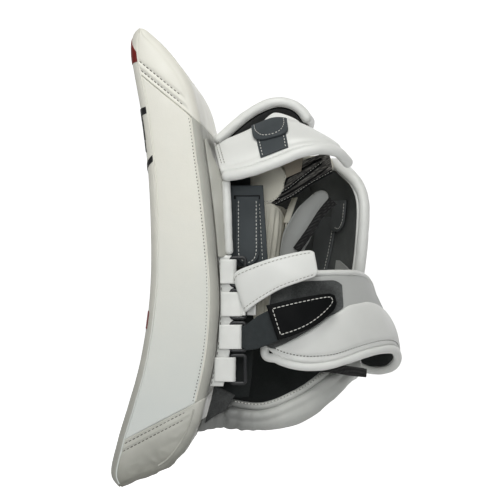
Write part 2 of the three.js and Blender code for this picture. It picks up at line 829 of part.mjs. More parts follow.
// The closing strap: grey elastic from the third ring, then a black hook tab.
const ELASTIC_TOP = [
  [-5, -88.2, -64.4],
  [6, -87.5, -55.5],
  [20, -88, -48.5],
];
const ELASTIC_BOTTOM = [
  [-5, -88.2, -82.6],
  [6, -88.5, -83],
  [24, -89.5, -76],
];
const elasticSurface = railSurface(ELASTIC_TOP, ELASTIC_BOTTOM, { inside: [20, 0, -60] });
const elasticSheet = slab(elasticSurface, { t: [-1, 1], nu: 4, nv: 2 });
add(
  "closing_strap",
  geometryOf(solid(elasticSheet).add(strapLoop(ringCentreZ(2), STRAP_LOOP_HEIGHT))),
  GREY_LEATHER,
);
const HOOK_TAB_TOP = [
  [13, -91.6, -46.5],
  [34, -93, -41.5],
  [56, -88, -37.5],
  [70, -81.5, -36.5],
];
const HOOK_TAB_BOTTOM = [
  [23, -92.6, -76],
  [40, -92.5, -70],
  [58, -88.5, -61],
  [73, -80.5, -48],
];
const hookTabSurface = railSurface(HOOK_TAB_TOP, HOOK_TAB_BOTTOM, { inside: [40, 0, -60] });
add("hook_tab", slab(hookTabSurface, { t: [-1, 1.4], nu: 6, nv: 3 }), BLACK_LEATHER);

// ---------------------------------------------------------------- the wrist cuff
// A padded trough round the wrist, low on the thumb side and high on the far side.
const CUFF_TOP = [
  [-24, -64, -131],
  [8, -70, -134],
  [36, -67, -124],
  [60, -53, -109],
  [78, -27, -92],
  [83, 8, -75],
  [70, 42, -62],
  [38, 62, -52],
  [2, 69, -49],
  [-24, 69, -48],
];
const CUFF_BOTTOM = [
  [-30, -58, -151],
  [2, -64, -153],
  [35, -63, -150],
  [62, -50, -134],
  [80, -24, -119],
  [88, 10, -119],
  [74, 46, -131],
  [40, 66, -144],
  [2, 73, -151],
  [-28, 73, -151],
];
const cuffSurface = railSurface(CUFF_TOP, CUFF_BOTTOM, { belly: 5, inside: [25, 0, -110] });
const cuffLength = (u) => cuffSurface(u, 0).distanceTo(cuffSurface(u, 1));
const cuffEdge = (u) => (RIM_RADIUS + 1) / cuffLength(u);
add(
  "wrist_cuff_pad",
  slab(cuffSurface, { t: [-3.5, 3.5], v: (u) => [cuffEdge(u), 1], nu: 16, nv: 3 }),
  WHITE_LEATHER,
);
add(
  "wrist_cuff_lining",
  slab(cuffSurface, {
    t: [-3.5 - LINING - GAP, -3.5 - GAP],
    v: (u) => [cuffEdge(u), 0.98],
    nu: 16,
    nv: 3,
  }),
  GREY_FABRIC,
);
const cuffRimPath = alongSurface(cuffSurface, 14, (s) => [s, 0]);
add("wrist_cuff_rim", limb(cuffRimPath, RIM_RADIUS, { steps: 26 }), WHITE_LEATHER);

// A felt panel closes the gap between the board and the cuff's near end.
const anchorSurface = railSurface(
  [
    [-31, -76, -115],
    [-24, -77, -119],
    [-17, -77, -123],
  ],
  [
    [-40, -76, -148],
    [-33, -76, -142],
    [-25, -76, -135],
  ],
  { inside: [-20, 0, -130] },
);
add("cuff_anchor", slab(anchorSurface, { t: [0, 2.4], nu: 2, nv: 2 }), GREY_FABRIC);

// The end of a webbing strap that lies on the cuff, under the flap's roll.
const webSurface = railSurface(
  [
    [45, -70, -96],
    [66.8, -68, -97.5],
    [84, -63, -100],
    [98, -55, -102.5],
  ],
  [
    [45, -70, -104],
    [66.8, -67, -104.8],
    [84, -62, -108],
    [97.5, -54, -110],
  ],
  { inside: [60, 40, -100] },
);
add("webbing_end", slab(webSurface, { t: [-1.2, 1.2], nu: 5, nv: 1 }), GREY_LEATHER);

export default part;
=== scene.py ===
"""A hockey goaltender's blocker: its looks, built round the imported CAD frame.
Lengths in the tables below are millimetres in the CAD frame; meshes are written in metres."""

import math

import bpy
import numpy as np
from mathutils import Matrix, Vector, noise


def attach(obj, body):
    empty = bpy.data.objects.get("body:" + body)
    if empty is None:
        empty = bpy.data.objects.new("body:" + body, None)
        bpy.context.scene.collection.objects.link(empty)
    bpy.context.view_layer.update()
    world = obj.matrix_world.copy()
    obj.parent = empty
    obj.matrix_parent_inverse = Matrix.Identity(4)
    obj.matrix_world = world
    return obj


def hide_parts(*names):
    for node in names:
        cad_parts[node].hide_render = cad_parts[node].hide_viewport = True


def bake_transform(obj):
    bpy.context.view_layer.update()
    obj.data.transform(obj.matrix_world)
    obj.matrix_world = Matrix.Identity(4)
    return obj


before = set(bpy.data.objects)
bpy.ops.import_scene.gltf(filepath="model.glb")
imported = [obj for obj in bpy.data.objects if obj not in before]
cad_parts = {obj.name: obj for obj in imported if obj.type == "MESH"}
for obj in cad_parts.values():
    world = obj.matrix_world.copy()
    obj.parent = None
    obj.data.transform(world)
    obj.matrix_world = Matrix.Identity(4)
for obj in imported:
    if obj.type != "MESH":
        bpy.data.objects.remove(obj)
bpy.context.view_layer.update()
MM = 0.001

# ------------------------------------------------------------------ camera
PIVOT = Vector((0.0, -0.1015, 0.0))
CAMERA_DISTANCE = 1.0485
CAMERA_TURN = math.radians(3.0)
camera_data = bpy.data.cameras.new("camera")
camera_data.lens = 90.7
camera_data.sensor_width = 36
camera_data.clip_end = 20
camera = bpy.data.objects.new("camera", camera_data)
bpy.context.scene.collection.objects.link(camera)
camera.location = PIVOT + CAMERA_DISTANCE * Vector(
    (math.sin(CAMERA_TURN), -math.cos(CAMERA_TURN), 0)
)
camera.rotation_euler = (math.pi / 2, 0, CAMERA_TURN)
bpy.context.scene.camera = camera


# ------------------------------------------------------------------ node materials
class Look:
    """A node material being built."""

    def __init__(self, name, roughness, sheen=0.0, coat=0.0, specular=0.5):
        self.material = bpy.data.materials.new(name)
        self.material.use_nodes = True
        self.nodes = self.material.node_tree.nodes
        self.shader = self.nodes["Principled BSDF"]
        self.set(self.shader, {
            "Roughness": roughness, "Specular IOR Level": specular, "Sheen Weight": sheen,
            "Sheen Roughness": 0.5, "Coat Weight": coat, "Coat Roughness": 0.3,
        })
        self.where = self.nodes.new("ShaderNodeTexCoord").outputs["Object"]

    def set(self, node, constants):
        for socket, value in constants.items():
            node.inputs[socket].default_value = value

    def link(self, source, socket):
        self.material.node_tree.links.new(source, socket)

    def node(self, kind, constants=None, **sources):
        """A new node with constants on its sockets, and links into the sockets named."""
        node = self.nodes.new(f"ShaderNode{kind}")
        self.set(node, constants or {})
        for socket, source in sources.items():
            self.link(source, node.inputs[socket])
        return node

    def noise(self, scale, detail=4.0, roughness=0.55):
        facts = {"Scale": scale, "Detail": detail, "Roughness": roughness}
        return self.node("TexNoise", facts, Vector=self.where).outputs["Fac"]

    def spread(self, factor, low, high, start=0.35, end=0.65):
        facts = {"From Min": start, "From Max": end, "To Min": low, "To Max": high}
        return self.node("MapRange", facts, Value=factor).outputs["Result"]

    def combine(self, a, b, operation="ADD"):
        node = self.node("Math")
        node.operation = operation
        self.link(a, node.inputs[0])
        self.link(b, node.inputs[1])
        return node.outputs["Value"]

    def paint(self, factor, stops):
        """Colours the shader by a ramp along a factor."""
        node = self.node("ValToRGB", Fac=factor)
        elements = node.color_ramp.elements
        while len(elements) < len(stops):
            elements.new(0.5)
        for element, (position, colour) in zip(elements, stops):
            element.position = position
            element.color = (*colour, 1)
        self.link(node.outputs["Color"], self.shader.inputs["Base Color"])

    def bump(self, *layers):
        """layers: (height, strength, distance in metres), each bump on top of the last."""
        last = {}
        for height, strength, distance in layers:
            facts = {"Strength": strength, "Distance": distance}
            last = {"Normal": self.node("Bump", facts, Height=height, **last).outputs["Normal"]}
        self.link(last["Normal"], self.shader.inputs["Normal"])

    def roughen(self, factor, low, high):
        self.link(self.spread(factor, low, high), self.shader.inputs["Roughness"])


def tint(colour, factor):
    return tuple(min(1.0, c * factor) for c in colour)


def leather(name, colour, roughness=0.42, grain=1.0, dirt=0.10, coat=0.12):
    """Coated leather: pebbled grain, fine creases, cloudy colour and a little soiling."""
    look = Look(name, roughness, 0.0, coat, 0.5 if coat else 0.12)
    stops = [(0.3, tint(colour, 1 - dirt)), (0.55, colour), (0.75, tint(colour, 1.03))]
    look.paint(look.noise(22, 3), stops)
    look.roughen(look.noise(60, 5), roughness - 0.07, roughness + 0.1)
    cells = look.node("TexVoronoi", {"Scale": 900}, Vector=look.where)
    cells.feature = "DISTANCE_TO_EDGE"
    pebbles = look.spread(cells.outputs["Distance"], 0, 1, 0.0, 0.18)
    creases = look.noise(140, 6, 0.62)
    look.bump((creases, 0.10 * grain, 0.0012), (pebbles, 0.10 * grain, 0.0003))
    return look


def painted_shade_leather(name, light, dark, direction, start, end):
    """Leather with painted shade that deepens along a direction, between two distances in metres.
    """
    look = leather(name, light, 0.46, 1.5, 0.12)
    along = look.node("VectorMath", {1: direction})
    along.operation = "DOT_PRODUCT"
    look.link(look.where, along.inputs[0])
    # painted shade: the colour darkens from start to end along the direction
    painted_shade = look.spread(along.outputs["Value"], 0, 1, start, end)
    patches = look.spread(look.noise(35, 4), -0.07, 0.07)
    look.paint(look.combine(painted_shade, patches), [(0.0, light), (1.0, dark)])
    return look


def cloth_weave(name, colour, pitch, roughness, contrast, sheen):
    """Woven fabric or webbing: crossed threads, seen as colour and as relief."""
    look = Look(name, roughness, sheen, specular=0.25)
    threads = []
    for axis in ((0.9, 0.3, 1.0), (-0.8, 0.4, 1.0)):
        turned = look.node("Mapping", {"Rotation": axis}, Vector=look.where).outputs["Vector"]
        facts = {"Scale": 0.314 / pitch, "Distortion": 0.6, "Detail Scale": 0.4 / pitch}
        wave = look.node("TexWave", facts, Vector=turned)
        wave.bands_direction = "Z"
        threads.append(wave.outputs["Fac"])
    crossed = look.combine(*threads, "MULTIPLY")
    shade = look.combine(crossed, look.spread(look.noise(300, 4), -0.25, 0.25))
    look.paint(shade, [(0.0, tint(colour, 1 - contrast)), (1.0, tint(colour, 1 + contrast))])
    look.bump((crossed, 0.35, pitch * 0.4))
    return look


def pile(name, colour, scale, depth, contrast, sheen):
    """Brushed nylon, felt or loop pile: short fibres with no direction."""
    look = Look(name, 0.95, sheen, specular=0.15)
    fibres = look.noise(scale, 6, 0.7)
    mixed = look.combine(fibres, look.spread(look.noise(45, 3), -0.15, 0.15))
    look.paint(mixed, [(0.3, tint(colour, 1 - contrast)), (0.7, tint(colour, 1 + contrast))])
    look.bump((fibres, 0.5, depth))
    return look


def moulded(name, colour):
    """Moulded plastic: a fine texture and scuffs."""
    look = Look(name, 0.32, specular=0.45)
    fine = look.noise(700, 3)
    look.paint(fine, [(0.3, tint(colour, 0.8)), (0.7, tint(colour, 1.3))])
    look.roughen(look.noise(90, 5), 0.26, 0.5)
    look.bump((fine, 0.08, 0.0003))
    return look


# Each look: its maker, then the maker's facts in the order of its parameters.
LOOKS = {
    "board_leather": (leather, (0.80, 0.79, 0.72), 0.40, 1.0, 0.05),
    "white_leather": (leather, (0.78, 0.79, 0.77), 0.42, 1.0, 0.06),
    # rear_leather is board leather darkened as painted shade on the board's back and rear bands,
    # which face away from the light.
    "rear_leather": (leather, (0.46, 0.46, 0.42), 0.5, 1.0, 0.12, 0.05),
    # flap_leather is white leather darkened as painted shade in the flap's recessed upper part.
    "flap_leather": (leather, (0.50, 0.51, 0.50), 0.5, 1.0, 0.05, 0.05),
    "palm_leather": (leather, (0.74, 0.72, 0.63), 0.66, 1.3, 0.12, 0.0),
    "patch_leather": (leather, (0.36, 0.32, 0.26), 0.7, 1.2, 0.15, 0.0),
    "thumb_leather": (leather, (0.42, 0.43, 0.42), 0.75, 1.2, 0.12, 0.0),
    "grey_leather": (leather, (0.060, 0.069, 0.075), 0.5, 0.9, 0.15, 0.0),
    "black_leather": (leather, (0.003, 0.0035, 0.004), 0.6, 0.8, 0.15, 0.0),
    "dark_lining": (pile, (0.022, 0.025, 0.025), 900, 0.0003, 0.18, 0.03),
    "guard_lining": (pile, (0.104, 0.111, 0.110), 900, 0.0003, 0.14, 0.03),
    # gusset_leather: painted shade, darker towards the board's bottom.
    "gusset_leather": (painted_shade_leather, (0.80, 0.79, 0.72),
                       (0.66, 0.69, 0.67), (0, 0, -1.0), -0.04, 0.14),
    # strike_leather: board leather darkened as painted shade, darker still towards the bottom.
    "strike_leather": (painted_shade_leather, (0.70, 0.69, 0.63),
                       (0.36, 0.36, 0.33), (0, 0, -1.0), -0.05, 0.17),
    # corner_leather: painted shade, darkest towards the board's lower corner and bottom edge.
    "corner_leather": (painted_shade_leather, (0.66, 0.66, 0.61),
                       (0.24, 0.24, 0.21), (0.42, 0, -0.9), 0.085, 0.135),
    "guard_leather": (leather, (0.125, 0.134, 0.138), 0.55, 0.9, 0.15, 0.0),
    # cuff_leather: white leather darkened as painted shade, darkest towards the board, as the
    # board's shadow.
    "cuff_leather": (painted_shade_leather, (0.50, 0.51, 0.49),
                     (0.19, 0.195, 0.19), (-1.0, 0, 0), -0.026, 0.014),
    "loop_pile": (pile, (0.078, 0.082, 0.082), 1300, 0.0008, 0.5, 0.12),
    "grey_felt": (pile, (0.048, 0.050, 0.050), 800, 0.0008, 0.35, 0.1),
    "elastic": (cloth_weave, (0.030, 0.036, 0.039), 0.0010, 0.75, 0.2, 0.05),
    "webbing": (cloth_weave, (0.030, 0.030, 0.030), 0.0016, 0.85, 0.6, 0.05),
    "mesh_cloth": (cloth_weave, (0.15, 0.145, 0.135), 0.0018, 0.9, 0.6, 0.1),
    "ring_plastic": (moulded, (0.012, 0.013, 0.015)),
    "foam": (pile, (0.5, 0.5, 0.48), 500, 0.0004, 0.1, 0.0),
    "stiffener": (moulded, (0.6, 0.6, 0.57)),
    "graphic_black": (leather, (0.008, 0.008, 0.009), 0.4, 0.8, 0.1),
    "graphic_red": (leather, (0.16, 0.012, 0.010), 0.4, 0.8, 0.12),
    "white_thread": (cloth_weave, (0.78, 0.78, 0.74), 0.0004, 0.7, 0.1, 0.0),
    "grey_thread": (cloth_weave, (0.33, 0.32, 0.29), 0.0004, 0.7, 0.1, 0.0),
    # needle_hole: dark marks painted as the shade in needle holes and on sunk thread.
    "needle_hole": (pile, (0.06, 0.055, 0.05), 900, 0.0002, 0.1, 0.0),
}
MATERIALS = {name: make(name, *facts).material for name, (make, *facts) in LOOKS.items()}
# The slot of each look that isn't itself a slot.
SLOT_OF = {
    "guard_lining": "dark_lining",
    "guard_leather": "grey_leather",
    "corner_leather": "board_leather",
    "gusset_leather": "board_leather",
    "strike_leather": "board_leather",
    "cuff_leather": "white_leather",
    "rear_leather": "board_leather",
    "flap_leather": "white_leather",
    "patch_leather": "palm_leather",
    "thumb_leather": "palm_leather",
    "mesh_cloth": "dark_lining",
    "grey_thread": "white_thread",
    "needle_hole": "grey_leather",
}


# ------------------------------------------------------------------ curves and surfaces (mm)
def arrays(*values):
    return [np.atleast_1d(np.asarray(v, float)) for v in values]


def pair(u, v):
    """u and v as arrays of one shape."""
    return np.broadcast_arrays(*arrays(u, v))


class Surface:
    """A surface of u and v, from base(u, v) and its outward direction out(u, v). A call gives
    its points, raised by offset mm."""

    def __call__(self, u, v, offset=0.0):
        u, v = pair(u, v)
        return self.base(u, v) + self.out(u, v) * offset

    def on_grid(self, U, V):
        """The points and outward directions at a grid of parameters."""
        flat = U.ravel(), V.ravel()
        return self(*flat).reshape(*U.shape, 3), self.out(*flat).reshape(*U.shape, 3)


class Rail:
    """A uniform Catmull-Rom curve through its points, from 0 to 1, as in the CAD."""

    def __init__(self, points):
        p = np.array(points, float)
        self.p = np.vstack([2 * p[0] - p[1], p, 2 * p[-1] - p[-2]])

    def __call__(self, u):
        (u,) = arrays(u)
        count = len(self.p) - 3
        s = np.clip(u, 0, 1) * count
        i = np.minimum(s.astype(int), count - 1)
        t = (s - i)[:, None]
        a, b, c, d = (self.p[i + k] for k in range(4))
        square, cube = 2 * a - 5 * b + 4 * c - d, 3 * b - a - 3 * c + d
        return 0.5 * (2 * b + (c - a) * t + square * t**2 + cube * t**3)


class Between(Surface):
    """The surface between two rails, bellied outwards, as railSurface in the CAD."""

    def __init__(self, rail_a, rail_b, belly=0.0, inside=(10, 0, 20)):
        self.a = Rail(rail_a)
        self.b = Rail(rail_b)
        self.belly = belly
        middle = self.flat(0.5, 0.5)[0]
        out = self.normal(self.flat, *arrays(0.5, 0.5))[0]
        self.sign = -1.0 if np.dot(out, middle - np.array(inside, float)) < 0 else 1.0

    def flat(self, u, v):
        u, v = arrays(u, v)
        return self.a(u) * (1 - v[:, None]) + self.b(u) * v[:, None]

    @staticmethod
    def normal(f, u, v, step=0.01):
        du = f(np.minimum(1, u + step), v) - f(np.maximum(0, u - step), v)
        dv = f(u, np.minimum(1, v + step)) - f(u, np.maximum(0, v - step))
        n = np.cross(du, dv)
        return n / np.maximum(np.linalg.norm(n, axis=1), 1e-9)[:, None]

    def base(self, u, v):
        u, v = arrays(u, v)
        half = np.full_like(u, 0.5)
        out = self.normal(self.flat, u, half) * (self.sign * self.belly * 4 * v * (1 - v))[:, None]
        return self.flat(u, v) + out

    def out(self, u, v):
        return self.normal(self.base, *arrays(u, v)) * self.sign


def resample(path, step=None, count=None):
    path = np.array(path, float)
    gaps = np.linalg.norm(np.diff(path, axis=0), axis=1)
    at = np.concatenate([[0], np.cumsum(gaps)])
    if count is None:
        count = max(2, int(round(at[-1] / step)) + 1)
    s = np.linspace(0, at[-1], count)
    return np.stack([np.interp(s, at, path[:, k]) for k in range(path.shape[1])], axis=1)


def smooth_path(points, step=1.5):
    return resample(Rail(points)(np.linspace(0, 1, 40 * len(points))), step)


def edge_params(length, edge, step):
    """Places from 0 to 1, close together near both ends, for a rounded edge."""
    edge = min(edge, 0.45 * length)
    near = edge * (1 - np.cos(np.linspace(0, math.pi / 2, 5)))
    inner = np.linspace(edge, length - edge, max(2, int((length - 2 * edge) / step)))
    return np.concatenate([near[:-1], inner, length - near[:-1][::-1]]) / length


def surface_grid(surface, u=(0, 1), v=(0, 1), edge=2.0, step=2.0):
    """Parameters U, V on a grid; v may be a function of u that gives its two ends."""
    ends = v if callable(v) else (lambda _: v)
    line = np.linspace(0, 1, 30)
    mid_v = np.array([np.mean(ends(x)) for x in u[0] + (u[1] - u[0]) * line])
    along = surface(u[0] + (u[1] - u[0]) * line, mid_v)
    mid_u = (u[0] + u[1]) / 2
    v0, v1 = ends(mid_u)
    across = surface(np.full(30, mid_u), v0 + (v1 - v0) * line)
    long_u = np.linalg.norm(np.diff(along, axis=0), axis=1).sum()
    long_v = np.linalg.norm(np.diff(across, axis=0), axis=1).sum()
    us = u[0] + (u[1] - u[0]) * edge_params(long_u, edge, step)
    vs = edge_params(long_v, edge, step)
    bounds = np.array([ends(x) for x in us])
    U = np.repeat(us[:, None], len(vs), axis=1)
    V = bounds[:, :1] + (bounds[:, 1:] - bounds[:, :1]) * vs[None, :]
    return U, V


def grid_distance(P):
    """How far each point of a grid is from the grid's border, along each direction."""
    found = []
    for axis in (0, 1):
        gaps = np.linalg.norm(np.diff(P, axis=axis), axis=2)
        at = np.cumsum(gaps, axis=axis)
        zero = np.zeros_like(np.take(at, [0], axis=axis))
        at = np.concatenate([zero, at], axis=axis)
        found.append(np.minimum(at, np.take(at, [-1], axis=axis) - at))
    return found


# ------------------------------------------------------------------ mesh builders
def make_object(name, points, faces, material):
    mesh = bpy.data.meshes.new(name)
    mesh.from_pydata((np.asarray(points) * MM).tolist(), [], faces)
    mesh.validate()
    mesh.materials.append(MATERIALS[material])
    mesh.shade_smooth()
    mesh.update()
    obj = bpy.data.objects.new(name, mesh)
    bpy.context.scene.collection.objects.link(obj)
    return obj


WRIST_BEND = ("ring_b", "wrist_closure", (-0.008, -0.09, -0.03), (0.004, -0.09, -0.03))
ELASTIC_BEND = ("ring_c", "cuff_closure", (-0.0055, -0.088, -0.074), (0.005, -0.088, -0.074))


def settle(obj, body, material, replaces=(), slot=None, fill=None):
    """Gives a piece its body; for a pair of bodies it only bakes the piece's transform."""
    if isinstance(body, tuple):
        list(body)
        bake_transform(obj)
    else:
        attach(obj, body)
    slot or SLOT_OF.get(material, material)
    if replaces:
        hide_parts(*replaces)
    return obj


def flow(P, scale, seed=0.0):
    """Smooth noise from -1 to 1 at points in mm."""
    values = [
        noise.noise(Vector((p[0] / scale + seed, p[1] / scale - seed, p[2] / scale + 2 * seed)))
        for p in P.reshape(-1, 3)
    ]
    return np.array(values).reshape(P.shape[:-1])


def swells(*layers):
    """A relief of smooth noise: layers of (height, scale, seed) in mm."""
    return lambda U, V, P: sum(height * flow(P, scale, seed) for height, scale, seed in layers)


def pillow_grid(P, N, low, high, edge, relief=None):
    """A closed body on a grid of points: rounded borders, a front and a back."""
    du, dv = grid_distance(P)

    def round_off(d):
        return np.sqrt(np.maximum(0, 1 - (1 - np.clip(d / edge, 0, 1)) ** 2))

    f = round_off(du) * round_off(dv)
    half = (high - low) / 2
    middle = (high + low) / 2
    front = middle + half * f
    if relief is not None:
        front = front + relief * f
    top = P + N * front[..., None]
    bottom = P + N * (middle - half * f)[..., None]
    n, m = f.shape
    index_top = np.arange(n * m).reshape(n, m)
    index_bottom = index_top.copy()
    inner = (slice(1, n - 1), slice(1, m - 1))
    index_bottom[inner] = n * m + np.arange((n - 2) * (m - 2)).reshape(n - 2, m - 2)
    points = np.vstack([top.reshape(-1, 3), bottom[inner].reshape(-1, 3)])
    faces = []
    for i in range(n - 1):
        for j in range(m - 1):
            corners = [(i, j), (i + 1, j), (i + 1, j + 1), (i, j + 1)]
            faces.append([int(index_top[corner]) for corner in corners])
            faces.append([int(index_bottom[corner]) for corner in corners[:1] + corners[:0:-1]])
    return points, faces, f


def face_outwards(obj):
    """Turns a closed mesh's faces outwards."""
    mesh = obj.data
    mesh.calc_loop_triangles()
    co = np.array([v.co for v in mesh.vertices])
    tris = np.array([t.vertices[:] for t in mesh.loop_triangles])
    a, b, c = (co[tris[:, k]] for k in range(3))
    if np.einsum("ij,ij->i", a, np.cross(b, c)).sum() < 0:
        mesh.flip_normals()
    return obj


def puff(obj, hold, pressure=3.0, cap=2.5, frames=14):
    """Inflates a closed pad by cloth simulation. hold is each vertex's pin weight."""
    before = np.array([v.co for v in obj.data.vertices])
    group = obj.vertex_groups.new(name="hold")
    for i, weight in enumerate(hold):
        if weight > 0.01:
            group.add([i], float(min(1, weight)), "REPLACE")
    modifier = obj.modifiers.new("cloth", "CLOTH")
    cloth = modifier.settings
    cloth.quality = 5
    cloth.mass = 0.25
    cloth.tension_stiffness = 18
    cloth.compression_stiffness = 18
    cloth.shear_stiffness = 8
    cloth.bending_stiffness = 0.4
    cloth.use_pressure = True
    cloth.uniform_pressure_force = pressure
    cloth.vertex_group_mass = "hold"
    cloth.effector_weights.gravity = 0
    modifier.collision_settings.use_collision = False
    scene = bpy.context.scene
    for number in range(1, frames + 1):
        scene.frame_set(number)
    shaped = obj.evaluated_get(bpy.context.evaluated_depsgraph_get())
    after = np.array([v.co for v in shaped.data.vertices])
    obj.modifiers.remove(modifier)
    obj.vertex_groups.clear()
    scene.frame_set(1)
    move = after - before
    far = np.linalg.norm(move, axis=1)
    limit = cap * MM
    scale = np.where(far > 1e-9, limit * np.tanh(far / limit) / np.maximum(far, 1e-9), 0)
    obj.data.vertices.foreach_set("co", (before + move * scale[:, None]).ravel())
    obj.data.update()
    return obj


def closed_piece(name, points, faces, body, material, replaces=(), fill=None):
    obj = face_outwards(make_object(name, points, faces, material))
    return settle(obj, body, material, replaces, fill=fill)


def pillow(
    name, surface, body, material, low, high, u=(0, 1), v=(0, 1), edge=2.0, step=2.0, relief=None,
    replaces=(), slot=None, fill=None, inflate=None,
):
    """A sewn piece on a surface. relief(U, V, P) adds height to its front."""
    U, V = surface_grid(surface, u, v, edge, step)
    P, N = surface.on_grid(U, V)
    height = relief(U, V, P) if relief else None
    points, faces, f = pillow_grid(P, N, low, high, edge, height)
    obj = face_outwards(make_object(name, points, faces, material))
    if inflate:
        inner = f[1:-1, 1:-1].ravel()
        hold = np.concatenate([f.ravel() < 0.85, inner < 2]).astype(float)
        puff(obj, hold, *inflate)
    return settle(obj, body, material, replaces, slot, fill)


def lining(name, surface, body, low=-2.0, high=-0.4, material="dark_lining", **how):
    """A thin smooth sheet inside a pad."""
    return pillow(name, surface, body, material, low, high, edge=0.8, step=3, **how)


def transported_frames(path):
    """Two directions across a path at each of its points, with no twist along it."""
    tangents = np.gradient(path, axis=0)
    tangents /= np.linalg.norm(tangents, axis=1)[:, None]
    side = np.cross(tangents[0], (0.31, 0.87, 0.38))
    side /= np.linalg.norm(side)
    sides = [side]
    for t in tangents[1:]:
        side = side - t * np.dot(side, t)
        side /= np.linalg.norm(side)
        sides.append(side)
    sides = np.array(sides)
    return sides, np.cross(tangents, sides)


def tube_mesh(path, radius, sides=14, relief=None, flat=1.0, flat_axis=None):
    """Points and faces of a tube with round ends. radius may be an array or a function."""
    path = np.array(path, float)
    gaps = np.linalg.norm(np.diff(path, axis=0), axis=1)
    at = np.concatenate([[0], np.cumsum(gaps)])
    length = at[-1]
    if callable(radius):
        r = np.array([radius(s / length) for s in at])
    else:
        r = np.full(len(path), radius)
    end = min(r[0], 0.3 * length)
    cap_at = end * (1 - np.cos(np.linspace(0, math.pi / 2, 6)))[1:]
    inner = at[(at > end * 1.05) & (at < length - end * 1.05)]
    s = np.concatenate([cap_at, inner, length - cap_at[::-1]])
    line = np.stack([np.interp(s, at, path[:, k]) for k in range(3)], axis=1)
    rr = np.interp(s, at, r)
    near = np.clip(np.minimum(s, length - s) / end, 0, 1)
    rr = rr * np.sqrt(np.maximum(1 - (1 - near) ** 2, 1e-4))
    a, b = transported_frames(line)
    angle = np.linspace(0, 2 * math.pi, sides, endpoint=False)
    cosine, sine = np.cos(angle)[None, :, None], np.sin(angle)[None, :, None]
    ring = a[:, None, :] * cosine + b[:, None, :] * sine
    if flat_axis is not None:
        axis = np.array(flat_axis, float) / np.linalg.norm(flat_axis)
        ring = ring - (1 - flat) * (ring @ axis)[..., None] * axis
    P = line[:, None, :] + ring * rr[:, None, None]
    if relief is not None:
        P = P + ring * (relief(P, s / length) * near[:, None])[..., None]
    n = len(s)
    points = np.vstack([P.reshape(-1, 3), path[0], path[-1]])
    faces = []
    for i in range(n - 1):
        for j in range(sides):
            k = (j + 1) % sides
            faces.append((i * sides + j, i * sides + k, (i + 1) * sides + k, (i + 1) * sides + j))
    for j in range(sides):
        k = (j + 1) % sides
        faces.append((n * sides, k, j))
        faces.append((n * sides + 1, (n - 1) * sides + j, (n - 1) * sides + k))
    return points, faces


def tube(name, path, radius, body, material, replaces=(), fill=None, **how):
    points, faces = tube_mesh(path, radius, **how)
    return closed_piece(name, points, faces, body, material, replaces, fill)


def puckers(amount, pitch, seed=0.0):
    """Small creases across a rolled edge, and slow swells along it."""

    def relief(P, s):
        slow = flow(P, 22, seed)
        fine = flow(P, pitch, seed + 3)
        return amount * (0.55 * slow + 0.45 * fine)

    return relief


class Threads:
    """Gathers the stitches of one body and colour into one mesh."""

    def __init__(self, name, body, material):
        self.name, self.body, self.material = name, body, material
        self.points, self.faces, self.count = [], [], 0

    def blob(self, centre, along, up, length, width, height, sides=6):
        across = np.cross(along, up)
        rows = [(-0.5, 0.0), (-0.40, 0.8), (0.0, 1.0), (0.40, 0.8), (0.5, 0.0)]
        first = self.count
        for s, w in rows:
            if w == 0:
                self.points.append(centre + along * s * length)
                self.count += 1
                continue
            for k in range(sides):
                angle = 2 * math.pi * k / sides
                self.points.append(
                    centre
                    + along * s * length
                    + across * math.cos(angle) * w * width / 2
                    + up * math.sin(angle) * w * height / 2
                )
                self.count += 1
        rings = [first + 1 + r * sides for r in range(3)]
        for k in range(sides):
            n = (k + 1) % sides
            self.faces.append((first, rings[0] + n, rings[0] + k))
            for r in range(2):
                a, b = rings[r], rings[r + 1]
                self.faces.append((a + k, a + n, b + n, b + k))
            self.faces.append((rings[2] + k, rings[2] + n, self.count - 1))

    def row(self, path, ups, pitch=3.6, length=2.7, width=0.75, height=0.7, lift=0.0):
        """Stitches along a path; ups are the surface normals at its points."""
        both = resample(np.hstack([path, ups]), pitch)
        for i in range(len(both) - 1):
            a, b = both[i, :3], both[i + 1, :3]
            along = b - a
            gap = np.linalg.norm(along)
            if gap < 1e-6:
                continue
            along /= gap
            up = (both[i, 3:] + both[i + 1, 3:]) / 2
            up = up - along * np.dot(up, along)
            up /= np.linalg.norm(up)
            self.blob((a + b) / 2 + up * lift, along, up, length, width, height)

    def on(self, surface, uv, offset, **how):
        """Stitches along a line of (u, v) points on a surface, offset mm above it."""
        line = smooth_uv(uv)
        path = surface(line[:, 0], line[:, 1], 0.0)
        ups = surface.out(line[:, 0], line[:, 1])
        lift = offset if np.ndim(offset) else np.full(len(line), float(offset))
        self.row(path + ups * lift[:, None], ups, **how)

    def finish(self):
        return closed_piece(self.name, self.points, self.faces, self.body, self.material)


def smooth_uv(uv):
    """A curve through (u, v) points, or a straight line between two."""
    count = 60
    points = np.array([[a, b, 0] for a, b in uv], float)
    if len(points) == 2:
        line = points[0] + (points[1] - points[0]) * np.linspace(0, 1, count)[:, None]
        return line[:, :2]
    return Rail(points)(np.linspace(0, 1, count * (len(points) - 1)))[:, :2]


def bumped(amount, scale, seed, crown):
    """Relief for a padded panel: a crown across it and soft uneven swells."""

    def relief(U, V, P):
        v0, v1 = V.min(axis=1, keepdims=True), V.max(axis=1, keepdims=True)
        w = (V - v0) / np.maximum(v1 - v0, 1e-6)
        return crown * (4 * w * (1 - w)) + amount * flow(P, scale, seed)

    return relief


